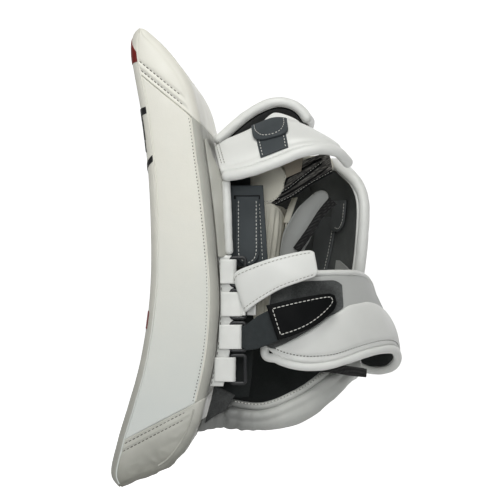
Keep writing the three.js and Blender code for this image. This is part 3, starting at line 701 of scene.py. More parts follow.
# ------------------------------------------------------------------ the board
HALF_WIDTH = 100.0
FRONT_ROUND = 6.0
BACK_ROUND = 7.0
TOP_TIP = (-93, 186)
BOTTOM_TIP = (-110, -198.5)
STRIKE_LINE = [
    (-97.4, 183.6), (-99.8, 178.5), (-100.6, 165), (-92.4, 117), (-86.5, 72), (-84, 25),
    (-84.2, -25), (-88.3, -66), (-94.6, -100), (-103.4, -131), (-112.6, -162), (-117.4, -190),
]
BACK_LINE = [
    (-96, -194.5), (-64, -178.5), (-46, -152), (-37.5, -122), (-30.5, -88), (-27.5, -55),
    (-27.5, -25), (-29.8, 5), (-33.5, 42), (-38.6, 80), (-44.2, 118), (-52.2, 143),
    (-67.6, 165), (-82, 179.6), (-88.8, 184.8),
]
STEPS_PER_POINT = 24


def closed_centripetal(points):
    """A closed centripetal Catmull-Rom curve through its points."""
    p = np.array(points, float)
    n = len(p)
    made = []
    for i in range(n):
        p0, p1, p2, p3 = p[i - 1], p[i], p[(i + 1) % n], p[(i + 2) % n]
        gaps = ((p0, p1), (p1, p2), (p2, p3))
        d0, d1, d2 = (max(np.linalg.norm(b - a) ** 0.5, 1e-6) for a, b in gaps)
        t1 = ((p1 - p0) / d0 - (p2 - p0) / (d0 + d1) + (p2 - p1) / d1) * d1
        t2 = ((p2 - p1) / d1 - (p3 - p1) / (d1 + d2) + (p3 - p2) / d2) * d1
        t = np.linspace(0, 1, STEPS_PER_POINT, endpoint=False)[:, None]
        square, cube = -3 * p1 + 3 * p2 - 2 * t1 - t2, 2 * p1 - 2 * p2 + t1 + t2
        made.append(p1 + t1 * t + square * t**2 + cube * t**3)
    return np.vstack(made)


LOOP = closed_centripetal([TOP_TIP, *STRIKE_LINE, BOTTOM_TIP, *BACK_LINE])
SPLIT = STEPS_PER_POINT * (len(STRIKE_LINE) + 1)
BOARD_STEPS = 800
FRONT = resample(LOOP[: SPLIT + 1], count=BOARD_STEPS)
BACK = resample(np.vstack([LOOP[SPLIT:], LOOP[:1]])[::-1], count=BOARD_STEPS)


def on_line(line, t):
    """Points at t, from 0 to 1, along the front or the back line."""
    x = np.clip(t, 0, 1) * (BOARD_STEPS - 1)
    i = np.arange(BOARD_STEPS)
    return np.stack([np.interp(x, i, line[:, 0]), np.interp(x, i, line[:, 1])], axis=-1)


def board_chord(t):
    """At t along the board: the front line's point, the way from it to the back line, and how
    far that is."""
    f, b = on_line(FRONT, t), on_line(BACK, t)
    return f, b - f, np.maximum(np.linalg.norm(b - f, axis=-1), 1e-6)


class Flat(Surface):
    """A surface that faces straight along Y: sign is 1 or -1."""

    def __init__(self, sign):
        self.sign = sign

    def out(self, u, v):
        u, v = arrays(u, v)
        n = np.zeros((len(u), 3))
        n[:, 1] = self.sign
        return n


class Side(Flat):
    """The board's side: u runs from the top tip down, v from the front seam to the rear one."""

    def base(self, u, v):
        f, chord, length = board_chord(u)
        a0 = np.minimum(FRONT_ROUND, 0.42 * length)
        a1 = length - np.minimum(BACK_ROUND, 0.42 * length)
        a = (a0 + (a1 - a0) * v) / length
        xz = f + chord * a[..., None]
        return np.stack([xz[..., 0], np.full_like(a, self.sign * HALF_WIDTH), xz[..., 1]], axis=-1)


class Wrap(Surface):
    """The strike face or the back: u runs from the top tip down, v across the board and
    round its two corners, from the near seam to the far one."""

    def __init__(self, front):
        self.front = front
        self.radius = FRONT_ROUND if front else BACK_ROUND

    def place(self, u, v):
        f, chord, length = board_chord(u)
        along = chord / length[..., None]
        r = np.minimum(self.radius, 0.42 * length)
        arc = math.pi / 2 * self.radius
        flat = 2 * (HALF_WIDTH - self.radius)
        s = v * (2 * arc + flat)
        near = np.clip(s / arc, 0, 1)
        far = np.clip((s - arc - flat) / arc, 0, 1)
        y = -(HALF_WIDTH - self.radius) + np.clip(s - arc, 0, flat)
        y = y - self.radius * np.cos(near * math.pi / 2) + self.radius * np.sin(far * math.pi / 2)
        depth = r * (1 - np.sin(near * math.pi / 2)) + r * (1 - np.cos(far * math.pi / 2))
        into = depth if self.front else length - depth
        xz = f + along * into[..., None]
        point = np.stack([xz[..., 0], y, xz[..., 1]], axis=-1)
        facing = -along if self.front else along
        flatness = np.sin(near * math.pi / 2) * np.cos(far * math.pi / 2)
        sideways = -np.cos(near * math.pi / 2) + np.sin(far * math.pi / 2)
        out = np.stack([facing[..., 0] * flatness, sideways, facing[..., 1] * flatness], axis=-1)
        return point, out / np.linalg.norm(out, axis=-1)[..., None]

    def base(self, u, v):
        return self.place(u, v)[0]

    def out(self, u, v):
        return self.place(*arrays(u, v))[1]


NEAR_SIDE, FAR_SIDE = Side(-1), Side(1)
STRIKE, REAR = Wrap(True), Wrap(False)
TOP_SEAM = ((-92.4, 147.3), (-50.5, 112.8))
BOTTOM_SEAM = ((-107.0, -159.8), (-45.0, -127.3))


def seam_u(seam, v):
    """Where the side's line of constant v crosses a slanted seam."""
    u = np.linspace(0.02, 0.98, 600)
    p = NEAR_SIDE.base(u, np.full_like(u, v))
    (x0, z0), (x1, z1) = seam
    line = z0 + (z1 - z0) * (p[:, 0] - x0) / (x1 - x0)
    above = p[:, 2] > line
    return float(u[np.argmin(above)])


V_SAMPLES = np.linspace(0, 1, 25)
SEAM_AT = {
    "top": np.array([seam_u(TOP_SEAM, v) for v in V_SAMPLES]),
    "bottom": np.array([seam_u(BOTTOM_SEAM, v) for v in V_SAMPLES]),
}


class Sock(Surface):
    """A corner of the board: u runs from the tip to the slanted seam, v round the section
    from the near front seam, over the back, to the far front seam."""

    SIDE, CORNER = 0.27, 0.33

    def __init__(self, top):
        self.top = top
        self.seam = TOP_SEAM if top else BOTTOM_SEAM
        self.v_at = np.linspace(0, 0.5, 101)
        t = np.linspace(0.01, 0.5, 1500)
        self.reach = np.array([
            t[np.argmax(self.from_seam(self.at(t, np.full_like(t, v))) < 0)] for v in self.v_at
        ])

    def section(self, v, length, front_round):
        """Depth from the front line as a share of the chord, and the place round the back."""
        w = np.minimum(v, 1 - v)
        rear = np.minimum(BACK_ROUND, 0.42 * length)
        side = np.clip(w / self.SIDE, 0, 1)
        turn = np.clip((w - self.SIDE) / (self.CORNER - self.SIDE), 0, 1) * math.pi / 2
        across = np.clip((w - self.CORNER) / (0.5 - self.CORNER), 0, 1)
        into = front_round + (length - rear - front_round) * side + rear * np.sin(turn)
        inwards = rear * (1 - np.cos(turn)) + (HALF_WIDTH - rear) * across
        return into / length, inwards

    def at(self, t, v):
        """The point at t along the outlines, counted from the tip, and v round the section."""
        t = t if self.top else 1 - t
        f, chord, length = board_chord(t)
        share, inwards = self.section(v, length, np.minimum(FRONT_ROUND, 0.42 * length))
        xz = f + chord * share[..., None]
        tip = np.array(TOP_TIP if self.top else BOTTOM_TIP)
        near_tip = np.clip(np.linalg.norm(f + chord / 2 - tip, axis=-1) / 9, 0, 1)
        shrink = 5 * (1 - np.sqrt(1 - (1 - near_tip) ** 2))
        y = (HALF_WIDTH - inwards) * (HALF_WIDTH - shrink) / HALF_WIDTH
        return np.stack([xz[..., 0], np.where(v < 0.5, -y, y), xz[..., 1]], axis=-1)

    def base(self, u, v):
        return self.at(u * np.interp(np.minimum(v, 1 - v), self.v_at, self.reach), v)

    def out(self, u, v):
        u, v = pair(u, v)
        step = 0.004
        du = self.base(np.clip(u + step, 0.003, 1), v) - self.base(np.clip(u - step, 0.003, 1), v)
        u = np.clip(u, 0.02, 1)
        dv = self.base(u, np.clip(v + step, 0, 1)) - self.base(u, np.clip(v - step, 0, 1))
        n = np.cross(du, dv) if self.top else np.cross(dv, du)
        return n / np.maximum(np.linalg.norm(n, axis=-1), 1e-9)[..., None]

    def from_seam(self, P):
        """How far points are from the slanted seam, measured in the side's plane."""
        (x0, z0), (x1, z1) = self.seam
        d = np.array([x1 - x0, z1 - z0])
        n = np.array([-d[1], d[0]]) / np.linalg.norm(d)
        far = (P[..., 0] - x0) * n[0] + (P[..., 2] - z0) * n[1]
        return far if self.top else -far


ROW_DISTANCES = (3.0, 8.0)
ROW_REACH = 0.88


def sock_relief(sock, seed, crumple):
    def relief(U, V, P):
        far = sock.from_seam(P)
        w = np.minimum(V, 1 - V)
        side = np.clip(w / sock.SIDE, 0, 1)
        plump = 1.3 * (4 * side * (1 - side)) ** 0.6 * np.clip(far / 12, 0.25, 1)
        ahead = np.clip((1.0 - w / sock.SIDE) / 0.08, 0, 1)
        rows = ahead * sum(np.exp(-(((far - d) / 1.1) ** 2)) for d in ROW_DISTANCES)
        lips = 0.45 * ahead * np.exp(-(((far - 5.5) / 1.6) ** 2))
        pinches = 0.16 * flow(P, 3.0, seed + 9) * np.exp(-((far / 9) ** 2))
        folds = 0.2 - np.abs(flow(P * np.array([1.0, 0.4, 1.0]), 9, seed)) ** 0.7
        rear = np.clip((side - 0.3) / 0.5, 0, 1) * np.clip((far - 9) / 12, 0, 1)
        even = plump - 0.7 * rows + lips + pinches
        return even + crumple * folds * rear + 0.3 * flow(P, 25, seed)

    return relief


def corner_piece(name, sock, relief, replaces, material):
    side = edge_params(60, 2.0, 1.6) * sock.SIDE
    turn = np.linspace(sock.SIDE, sock.CORNER, 9)[1:]
    back = np.linspace(sock.CORNER, 0.5, 34)[1:]
    half = np.concatenate([side[side < sock.SIDE - 0.002], [sock.SIDE], turn, back])
    vs = np.concatenate([half, (1 - half[:-1])[::-1]])
    us = np.clip(np.sort(1 - edge_params(60, 1.6, 1.2)), 0.006, 1)
    U, V = np.meshgrid(us, vs, indexing="ij")
    P, N = sock.on_grid(U, V)
    points, faces, _ = pillow_grid(P, N, -1.5, 0.7, 1.3, relief(U, V, P))
    return closed_piece(name, points, faces, "board", material, replaces)


def gusset_panel(name, side, relief, replaces):
    """The long panel of the board's side, between the two slanted seams."""
    vs = edge_params(60, 2.0, 2.0)
    rows = edge_params(250, 2.0, 2.4)
    u0 = np.interp(vs, V_SAMPLES, SEAM_AT["top"])
    u1 = np.interp(vs, V_SAMPLES, SEAM_AT["bottom"])
    U = u0[None, :] + (u1 - u0)[None, :] * rows[:, None]
    V = np.repeat(vs[None, :], len(rows), axis=0)
    P, N = side.on_grid(U, V)
    points, faces, _ = pillow_grid(P, N, -1.6, 0.2, 1.6, relief(U, V, P))
    return closed_piece(name, points, faces, "board", "gusset_leather", replaces)


def gusset_relief(seed):
    def relief(U, V, P):
        rise = 1.2 * (4 * V * (1 - V)) ** 0.6
        return rise + 0.35 * flow(P, 45, seed) + 0.06 * flow(P, 9, seed + 2)

    return relief


for number, (side_name, side) in enumerate((("near", NEAR_SIDE), ("far", FAR_SIDE))):
    gusset_panel(
        f"gusset_leather_{side_name}", side, gusset_relief(number + 1.0), [f"gusset_{side_name}"]
    )
TOP_SOCK, BOTTOM_SOCK = Sock(True), Sock(False)
TOP_RELIEF, BOTTOM_RELIEF = sock_relief(TOP_SOCK, 4.0, 0.25), sock_relief(BOTTOM_SOCK, 7.0, 2.0)
for end, sock, relief, material in (
    ("top", TOP_SOCK, TOP_RELIEF, "board_leather"),
    ("bottom", BOTTOM_SOCK, BOTTOM_RELIEF, "corner_leather"),
):
    covered = [f"corner_panel_{end}_near", f"corner_panel_{end}_far", f"{end}_cap"]
    corner_piece(f"{end}_corner_leather", sock, relief, covered, material)

# The corner seams' piping uses the rear leather, darkened as painted shade.
for side_name, v in (("near", BOTTOM_SOCK.SIDE), ("far", 1 - BOTTOM_SOCK.SIDE)):
    us = np.linspace(0.40, 0.97, 150)
    vs = np.full_like(us, v)
    base = BOTTOM_SOCK(us, vs)
    seam = base + BOTTOM_SOCK.out(us, vs) * (0.8 + BOTTOM_RELIEF(us, vs, base))[:, None]
    tube(f"corner_seam_piping_{side_name}", smooth_path(seam[::6], 1.2), 0.7, "board",
         "rear_leather", sides=8)


def strike_relief(U, V, P):
    return 0.5 * flow(P, 60, 11.0) + 0.08 * flow(P, 10, 12.0)


def rear_relief(U, V, P):
    swell = 0.7 * flow(P * np.array([1, 0.5, 1.0]), 30, 15.0)
    creases = 0.5 * np.maximum(0, flow(P * np.array([1, 0.3, 1.6]), 9, 16.0)) ** 2
    return swell + creases


pillow(
    "strike_face_leather", STRIKE, "board", "strike_leather", -1.7, 0.1, u=(0.001, 0.999),
    edge=1.5, step=3.0, relief=strike_relief, replaces=["strike_face_cover"],
)
# The back's leather is darkened as painted shade.
pillow(
    "back_leather", REAR, "board", "rear_leather", -1.7, 0.1, u=(0.17, 0.845),
    edge=1.5, step=3.0, relief=rear_relief, replaces=["back_cover"],
)

# Piping along the front seam, and generic inlays that wrap round the strike face's edges.
for side_name, side in (("near", NEAR_SIDE), ("far", FAR_SIDE)):
    u = np.linspace(0.02, 0.985, 260)
    seam = side(u, np.zeros_like(u), 0.25)
    tube(
        f"front_seam_piping_{side_name}", seam, 0.75, "board", "gusset_leather",
        [f"front_piping_{side_name}"], sides=8,
    )
    u = np.linspace(seam_u(TOP_SEAM, 1.0) + 0.004, seam_u(BOTTOM_SEAM, 1.0) - 0.004, 240)
    seam = side(u, np.full_like(u, 1.0), 0.1)
    tube(f"rear_seam_piping_{side_name}", seam, 0.8, "board", "board_leather", sides=8)


INLAY_TOP = 178.0
ARC = math.pi / 2 * FRONT_ROUND
ACROSS = 2 * ARC + 2 * (HALF_WIDTH - FRONT_ROUND)


class Inlaid(Surface):
    """The strike face measured in millimetres from the near seam (v) with slanted ends (u)."""

    def __init__(self, top, bottom, slant_top=0.0, slant_bottom=0.0):
        self.heights = top, bottom, slant_top, slant_bottom

    def shifted(self, u, v):
        u, v = pair(u, v)
        top, bottom, slant_top, slant_bottom = self.heights
        edge = np.minimum(v, ACROSS - v)
        edge = np.minimum(edge, 25 + 0.1 * edge)
        z0 = np.minimum(top - slant_top * edge, INLAY_TOP)
        z1 = bottom - slant_bottom * edge
        z = z0 + (z1 - z0) * u
        t = np.interp(-z, -FRONT[:, 1], np.linspace(0, 1, BOARD_STEPS))
        return t, v / ACROSS

    def base(self, u, v):
        return STRIKE.base(*self.shifted(u, v))

    def out(self, u, v):
        return STRIKE.out(*self.shifted(u, v))


def inlay(name, material, shape, low, high):
    pillow(
        name, Inlaid(*shape), "board", material, -0.4, 0.55, v=(low, high), edge=0.4, step=2.0,
        slot=material, relief=strike_relief,
    )


inlay("red_inlay_top", "graphic_red", (164, 157, -1.6, 0.1), 0.6, ACROSS - 0.6)
inlay("black_inlay_upper", "graphic_black", (119.5, 114, 0.15, 0.25), 0.3, ACROSS - 0.3)
inlay("black_inlay_thin", "graphic_black", (113, 92, 0, 0), 5.5, 30)
inlay("black_inlay_middle", "graphic_black", (80, 74.5, 0.9, 0.8), 0.3, ACROSS - 0.3)
inlay("black_inlay_lower", "graphic_black", (92, 82, 0, 0), 6.5, 30)
inlay("red_inlay_low", "graphic_red", (-51, -66, 0, 0), 5.0, 60)

# ------------------------------------------------------------------ finger guard
ROLL = 5.0
SHIELD_NEAR = [
    (-32, -38, 92), (-21, -38, 101), (-8, -38, 112.5), (5, -38, 121), (17, -38, 126),
    (28, -38, 126), (38, -38, 121), (46, -38, 110),
]
SHIELD_FAR = [
    (-32, 74, 88), (-22, 74, 96), (-10, 74, 105), (3, 74, 112), (15, 74, 115.5), (26, 74, 115),
    (36, 74, 111), (44, 74, 103),
]
SHIELD = Between(SHIELD_NEAR, SHIELD_FAR, 5, (10, 0, 40))
ALONG = np.linspace(0, 1, 120)
SHIELD_EDGE = (ROLL - 1.5) / 112
pillow(
    "shield_pad", SHIELD, "finger_guard", "white_leather", 0, 7.6, u=(0.01, 0.99),
    v=(SHIELD_EDGE, 1 - SHIELD_EDGE), edge=4, step=2.6, relief=bumped(0.5, 26, 21.0, 1.0),
    replaces=["finger_shield_pad"], fill=0.6, inflate=(3.0, 2.2),
)
lining("shield_lining", SHIELD, "finger_guard", u=(0.02, 0.98), v=(SHIELD_EDGE, 1 - SHIELD_EDGE),
       replaces=["finger_shield_lining"])
near_roll = SHIELD(ALONG, np.zeros_like(ALONG), 4.0)
far_roll = SHIELD(ALONG, np.ones_like(ALONG), 3.5)
tube("shield_near_roll", near_roll, 4.5, "finger_guard", "white_leather",
     ["finger_shield_roll"], fill=0.7, sides=22, relief=puckers(0.5, 6, 1.0))
tube("shield_far_roll", far_roll, ROLL, "finger_guard", "white_leather",
     ["finger_shield_far_roll"], fill=0.7, sides=22, relief=puckers(0.5, 6, 2.0))
FACING = Between(
    [(7, -45.5, 111), (13, -45.5, 117), (19, -45.5, 120.3), (28, -45.5, 118.5), (38, -45.5, 114),
     (43, -45.5, 109)],
    [(7, -47, 102), (13, -47, 105), (19, -47, 108), (28, -48, 108), (38, -49, 105), (43, -50, 103)],
    0, (20, 0, 100),
)
pillow("shield_facing", FACING, "finger_guard", "white_leather", -0.8, 0.8, edge=0.8, step=1.6,
       relief=swells((0.5, 16, 98.0)))

INDEX_TOP = [
    (-32, -51, 87), (-21, -51, 94), (-7, -51, 100), (7, -51, 107), (20, -51, 113),
    (32, -52, 110), (44, -53, 104), (54, -56, 95), (63, -60, 87),
]
INDEX_BOTTOM = [
    (-24, -85, 61), (-11, -88, 62.5), (2, -90, 65.5), (15, -91, 70), (28, -91, 75),
    (41, -90, 80), (55, -87, 83), (68, -80, 82.5), (78, -71, 78),
]
INDEX = Between(INDEX_TOP, INDEX_BOTTOM, 4, (20, 0, 60))


def index_relief(U, V, P):
    crown = 1.2 * (4 * V * (1 - V)) ** 0.7
    groove = -1.1 * np.exp(-(((V - 0.80) / 0.035) ** 2))
    return crown + groove + 0.45 * flow(P, 22, 31.0) + 0.10 * flow(P, 6, 32.0)


pillow(
    "index_guard_leather", INDEX, "finger_guard", "white_leather", -0.6, 4.0, u=(0.0, 0.975),
    v=(0, 0.93), edge=2.3, step=1.7, relief=index_relief, replaces=["index_guard_pad"], fill=0.5,
    inflate=(2.0, 1.6),
)
lining("index_guard_inside", INDEX, "finger_guard", u=(0.02, 0.93), v=(0.02, 0.88),
       replaces=["index_guard_lining"])
index_roll = INDEX(ALONG, np.ones_like(ALONG), 2.5)
index_roll = np.vstack([index_roll, [(84, -63, 73), (83.5, -57, 70), (81, -52, 69)]])
index_roll = smooth_path(index_roll[::8], 1.3)
tube("index_guard_edge_roll", index_roll, 4.7, "finger_guard", "white_leather",
     ["index_guard_roll"], fill=0.7, sides=24, relief=puckers(0.45, 5, 3.0))

pillow(
    "index_strip_leather", INDEX, "finger_guard", "grey_leather", 4.4, 6.0, u=(0.34, 0.555),
    v=(0.36, 0.87), edge=0.7, step=1.6, replaces=["index_guard_strip"],
    relief=lambda U, V, P: 0.5 * (4 * V * (1 - V)),
)


def rounded_end(v0, v1, u0, u1, share, slant):
    """v's ends as a function of u, for a piece whose low-v end is straight and whose other
    end is round; both slant along u."""

    def ends(u):
        w = 2 * (u - u0) / (u1 - u0) - 1
        shift = slant * w
        return v0 + shift, v1 + shift - share * (1 - math.sqrt(max(0.0, 1 - abs(w) ** 3)))

    return ends


pillow(
    "index_tab_leather", INDEX, "index_tab", "grey_leather", 6.4, 8.8, u=(0.325, 0.575),
    v=rounded_end(0.17, 0.62, 0.325, 0.575, 0.16, 0.05), edge=1.2, step=1.3,
    replaces=["index_guard_tab"], relief=swells((0.5, 14, 35.0)),
)

# ------------------------------------------------------------------ thumb guard
THUMB_NEAR = [
    (89, -13, -37), (90.5, -14, -24), (93, -16, -4), (95, -16, 22), (95, -15, 44),
    (88.5, -10, 61), (75, 0, 71.5),
]
THUMB_FAR = [
    (46, 72, -37), (48, 75, -24), (51, 77, -2), (53, 78, 22), (52, 77, 44), (49, 74, 62),
    (45, 68, 76),
]
THUMB = Between(THUMB_NEAR, THUMB_FAR, 12, (30, 0, 20))
THUMB_EDGE = (ROLL - 1.0) / 102
pillow(
    "thumb_guard_leather", THUMB, "thumb_guard", "white_leather", 0, 7.0, u=(0, 0.955),
    v=(THUMB_EDGE, 1), edge=4, step=2.6, relief=bumped(0.6, 28, 41.0, 1.0),
    replaces=["thumb_guard_pad"], fill=0.6, inflate=(3.0, 2.2),
)
lining("thumb_guard_inside", THUMB, "thumb_guard", material="guard_lining", u=(0.0, 0.96),
       v=(THUMB_EDGE * 0.8, 0.99), replaces=["thumb_guard_lining"])
side_part = THUMB(np.linspace(0, 0.95, 90), np.zeros(90), 2.5)
top_part = THUMB(np.ones(70), np.linspace(0.08, 1.0, 70), 2.5)
thumb_roll = smooth_path(np.vstack([side_part[::9], top_part[::9]]), 1.4)
tube("thumb_guard_edge_roll", thumb_roll, ROLL, "thumb_guard", "white_leather",
     ["thumb_guard_roll"], fill=0.7, sides=24, relief=puckers(0.55, 6, 4.0))
inner = np.vstack([
    THUMB(np.linspace(0.02, 0.93, 60), np.full(60, THUMB_EDGE * 0.7), -2.6)[::6],
    THUMB(np.full(40, 0.965), np.linspace(0.12, 0.95, 40), -2.6)[::6],
])
tube("thumb_guard_inner_binding", smooth_path(inner, 1.4), 1.6, "thumb_guard", "white_leather",
     sides=10)
pillow(
    "thumb_guard_inner_strap", THUMB, "thumb_guard", "guard_leather", -4.4, -2.4, u=(0.03, 0.57),
    v=lambda u: (0.66 + 0.12 * (0.57 - u) / 0.5, 0.97), edge=1.0, step=2,
    replaces=["thumb_guard_strap"],
)


def keeper_ends(u):
    """A strap end that narrows to a round tip at its low end."""
    below = max(0.0, (0.53 - u) / 0.06)
    inset = 0.11 * (1 - math.sqrt(max(0.0, 1 - below**2)))
    slope = 0.10 * (0.68 - u) / 0.2
    return 0.40 + slope + inset, 0.66 + slope - inset


pillow(
    "thumb_guard_strap_keeper", THUMB, "thumb_guard", "guard_leather", -6.6, -4.8, u=(0.47, 0.68),
    v=keeper_ends, edge=1.0, step=1.6,
)
pillow(
    "thumb_guard_grey_patch", THUMB, "thumb_guard", "thumb_leather", -3.6, -2.2, u=(0.08, 0.29),
    v=lambda u: (0.06 + 0.5 * min(1.0, max(0.0, (u - 0.18) / 0.11)), 0.62), edge=0.6, step=1.6,
)
WING_END = [
    (12, 66, -37), (12, 68, -24), (12, 69, -2), (12, 69, 22), (12, 68, 44), (13, 66, 62),
    (15, 63, 74),
]
WING = Between(THUMB_FAR, WING_END, 2, (30, 0, 20))
pillow("thumb_guard_wing", WING, "thumb_guard", "white_leather", 0, 6.0, edge=3, step=3,
       relief=bumped(0.5, 26, 44.0, 0.8), fill=0.5)
wing_seam = WING(np.linspace(0.01, 0.97, 90), np.full(90, 0.0), 2.6)
tube("thumb_guard_wing_seam", wing_seam, 3.9, "thumb_guard", "white_leather", sides=18,
     relief=puckers(0.4, 6, 12.0))
lining("thumb_guard_wing_inside", WING, "thumb_guard", -1.8, -0.3, "guard_lining")

# ------------------------------------------------------------------ the cuff flap
RIM = 3.4
FLAP_TOP = [
    (12, -71, -27), (30, -74, -22), (50, -73.5, -20), (69, -66, -19.5), (85, -51, -20),
    (98, -30, -23), (106, -8, -37), (112, 10, -60), (112, 26, -80), (102, 37, -91),
    (94, 43, -95),
]
FLAP_BOTTOM = [
    (8, -71, -80), (20, -76, -92), (42, -79, -98.5), (68, -74, -97.5), (92, -60, -90.5),
    (112, -42, -87), (125, -20, -89.5), (128.5, 0, -100.5), (122, 21, -110), (108, 35, -112.5),
    (94, 43, -109.5),
]
FLAP = Between(FLAP_TOP, FLAP_BOTTOM, 3, (50, 0, -60))
FLAP_LENGTH_U = np.linspace(0, 1, 40)
FLAP_LENGTHS = np.linalg.norm(
    FLAP(FLAP_LENGTH_U, np.zeros(40)) - FLAP(FLAP_LENGTH_U, np.ones(40)), axis=1
)


def flap_edge(u, gap=0.0):
    return (RIM - 0.6 + gap) / float(np.interp(u, FLAP_LENGTH_U, FLAP_LENGTHS))


SPLIT_U = [0.0, 0.09, 0.18, 0.27, 0.36, 0.45, 0.54, 1.0]
SPLIT_V = [0.95, 0.88, 0.67, 0.47, 0.38, 0.37, 0.40, 0.30]


def split_at(u):
    """Where the flap's flat upper leather meets its padded lower leather."""
    return np.interp(u, SPLIT_U, SPLIT_V)


def flap_relief(U, V, P):
    split = split_at(U)
    belly = np.clip((V - split) / np.maximum(1 - split, 0.05), 0, 1)
    rise = 3.2 * np.sin(math.pi * belly) ** 0.6 * np.clip((1 - split) / 0.4, 0.2, 1)
    stitched = -1.2 * np.exp(-(((V - 0.89) / 0.02) ** 2))
    return rise + stitched + 0.5 * flow(P, 24, 51.0) + 0.12 * flow(P, 7, 52.0)


pillow(
    "cuff_flap_leather", FLAP, "cuff_flap", "white_leather", -3, 1.6, u=(0.03, 0.96),
    v=lambda u: (min(float(split_at(u)), 0.93), 1 - flap_edge(u)), edge=2.2, step=1.6,
    relief=flap_relief, replaces=["cuff_flap_pad"], fill=0.55,
)
# The flap's upper part: white leather darkened as painted shade in its recess.
pillow(
    "cuff_flap_upper", FLAP, "cuff_flap", "flap_leather", -3, 0.8, u=(0.03, 0.96),
    v=lambda u: (flap_edge(u, -1.1), min(float(split_at(u)) + 0.08, 0.96)), edge=1.6, step=1.8,
    relief=swells((0.4, 20, 53.0), (0.1, 6, 54.0)), fill=0.4,
)
lining("cuff_flap_inside", FLAP, "cuff_flap", -5.0, -3.3, u=(0.03, 0.97),
       v=lambda u: (flap_edge(u), 1 - flap_edge(u)), replaces=["cuff_flap_lining"])
FLAP_TUCK = [(91.0, 45.5, -108.3)]
top_edge = FLAP(np.linspace(0.98, 0, 110), np.zeros(110))
bottom_edge = FLAP(np.linspace(0.028, 1.0, 120), np.ones(120))
flap_roll = smooth_path(np.vstack([top_edge[::10], bottom_edge[::10], FLAP_TUCK]), 1.3)


def flap_roll_radius(s):
    return 2.5 + 1.4 / (1 + math.exp(-(s - 0.47) * 30))


tube("cuff_flap_bound_edge", flap_roll, flap_roll_radius, "cuff_flap", "white_leather",
     ["cuff_flap_roll"], fill=0.6, sides=20, relief=puckers(0.35, 5, 5.0))


def loop_patch_ends(u):
    corner = max(0.0, (u - 0.29) / 0.05)
    return flap_edge(u) + 0.05 + 0.07 * corner**2, float(split_at(u)) + 0.015 - 0.03 * corner**2


pillow(
    "loop_patch_pile", FLAP, "cuff_flap", "loop_pile", 0.6, 2.6, u=(0.04, 0.335),
    v=loop_patch_ends, edge=0.9, step=1.6, replaces=["cuff_loop_patch"],
    relief=swells((0.25, 9, 55.0), (0.12, 2.2, 56.0)),
)

# ------------------------------------------------------------------ straps and rings
RING_Y = -84.0
RING_X = -11.0
RING_W, RING_H = 15.0, 26.6
HOLD_X, BAR_X = -17.0, -5.0
RING_ZS = [-18.2 - 27.6 * i for i in range(4)]
TAB_HALF, STRAP_HALF = 10.3, 9.5


def rounded_loop(width, height, radius):
    """A rounded rectangle's outline, as points in X and Z with their outward directions."""
    made = []
    for k, (sx, sz) in enumerate(((1, 1), (-1, 1), (-1, -1), (1, -1))):
        cx, cz = sx * (width / 2 - radius), sz * (height / 2 - radius)
        for a in np.linspace(0, math.pi / 2, 8):
            angle = a + k * math.pi / 2
            made.append((cx + radius * math.cos(angle), cz + radius * math.sin(angle),
                         math.cos(angle), math.sin(angle)))
    return np.array(made)


def ring_object(name, z, body, replaces):
    """A moulded loop of rounded square section."""
    bar = 3.0
    line = rounded_loop(RING_W - bar, RING_H - bar, 2.2)
    section = []
    for angle in np.linspace(0, 2 * math.pi, 16, endpoint=False):
        c, s = math.cos(angle), math.sin(angle)
        section.append((abs(c) ** 0.6 * np.sign(c) * bar / 2, abs(s) ** 0.6 * np.sign(s) * bar / 2))
    points, faces = [], []
    n, m = len(line), len(section)
    for x, zz, dx, dz in line:
        for a, b in section:
            points.append((RING_X + x + dx * a, RING_Y + b, z + zz + dz * a))
    for i in range(n):
        for j in range(m):
            a, b = (i + 1) % n, (j + 1) % m
            faces.append((i * m + j, a * m + j, a * m + b, i * m + b))
    return closed_piece(name, points, faces, body, "ring_plastic", replaces)


class Ribbon(Surface):
    """A surface swept along Z from a path in X and Y: u along the path, v along Z."""

    def __init__(self, path, z0, z1):
        self.path = np.array(path, float)
        self.z0, self.z1 = z0, z1
        gaps = np.linalg.norm(np.diff(self.path, axis=0), axis=1)
        self.at = np.concatenate([[0], np.cumsum(gaps)]) / gaps.sum()

    def place(self, u):
        return np.stack([np.interp(u, self.at, self.path[:, k]) for k in (0, 1)], axis=-1)

    def base(self, u, v):
        xy = self.place(u)
        return np.stack([xy[:, 0], xy[:, 1], self.z0 + (self.z1 - self.z0) * v], axis=-1)

    def out(self, u, v):
        u, v = pair(u, v)
        d = self.place(np.clip(u + 0.01, 0, 1)) - self.place(np.clip(u - 0.01, 0, 1))
        d /= np.linalg.norm(d, axis=-1)[:, None]
        return np.stack([-d[:, 1], d[:, 0], np.zeros(len(u))], axis=-1)


def board_back_x(z):
    """Where the board's back is at a height."""
    order = np.argsort(BACK[:, 1])
    return np.interp(z, BACK[order, 1], BACK[order, 0])


def ring_tab_path(z, reach):
    """Through a ring, round its left bar with slack, and back to the board's edge."""
    edge = board_back_x(z) + 1.2
    r = 2.9
    arc = np.linspace(math.radians(90), math.radians(-90), 22)
    loop = [(reach + r * math.cos(a), RING_Y + r * math.sin(a)) for a in arc]
    return resample([(edge, RING_Y + 6.0), (HOLD_X - 4, RING_Y + 3.6), (HOLD_X, RING_Y + 2.9),
                     *loop, (HOLD_X, RING_Y - 3.1), (HOLD_X - 6.0, RING_Y - 2.6),
                     (edge + 0.5, RING_Y - 2.0)], 0.6)


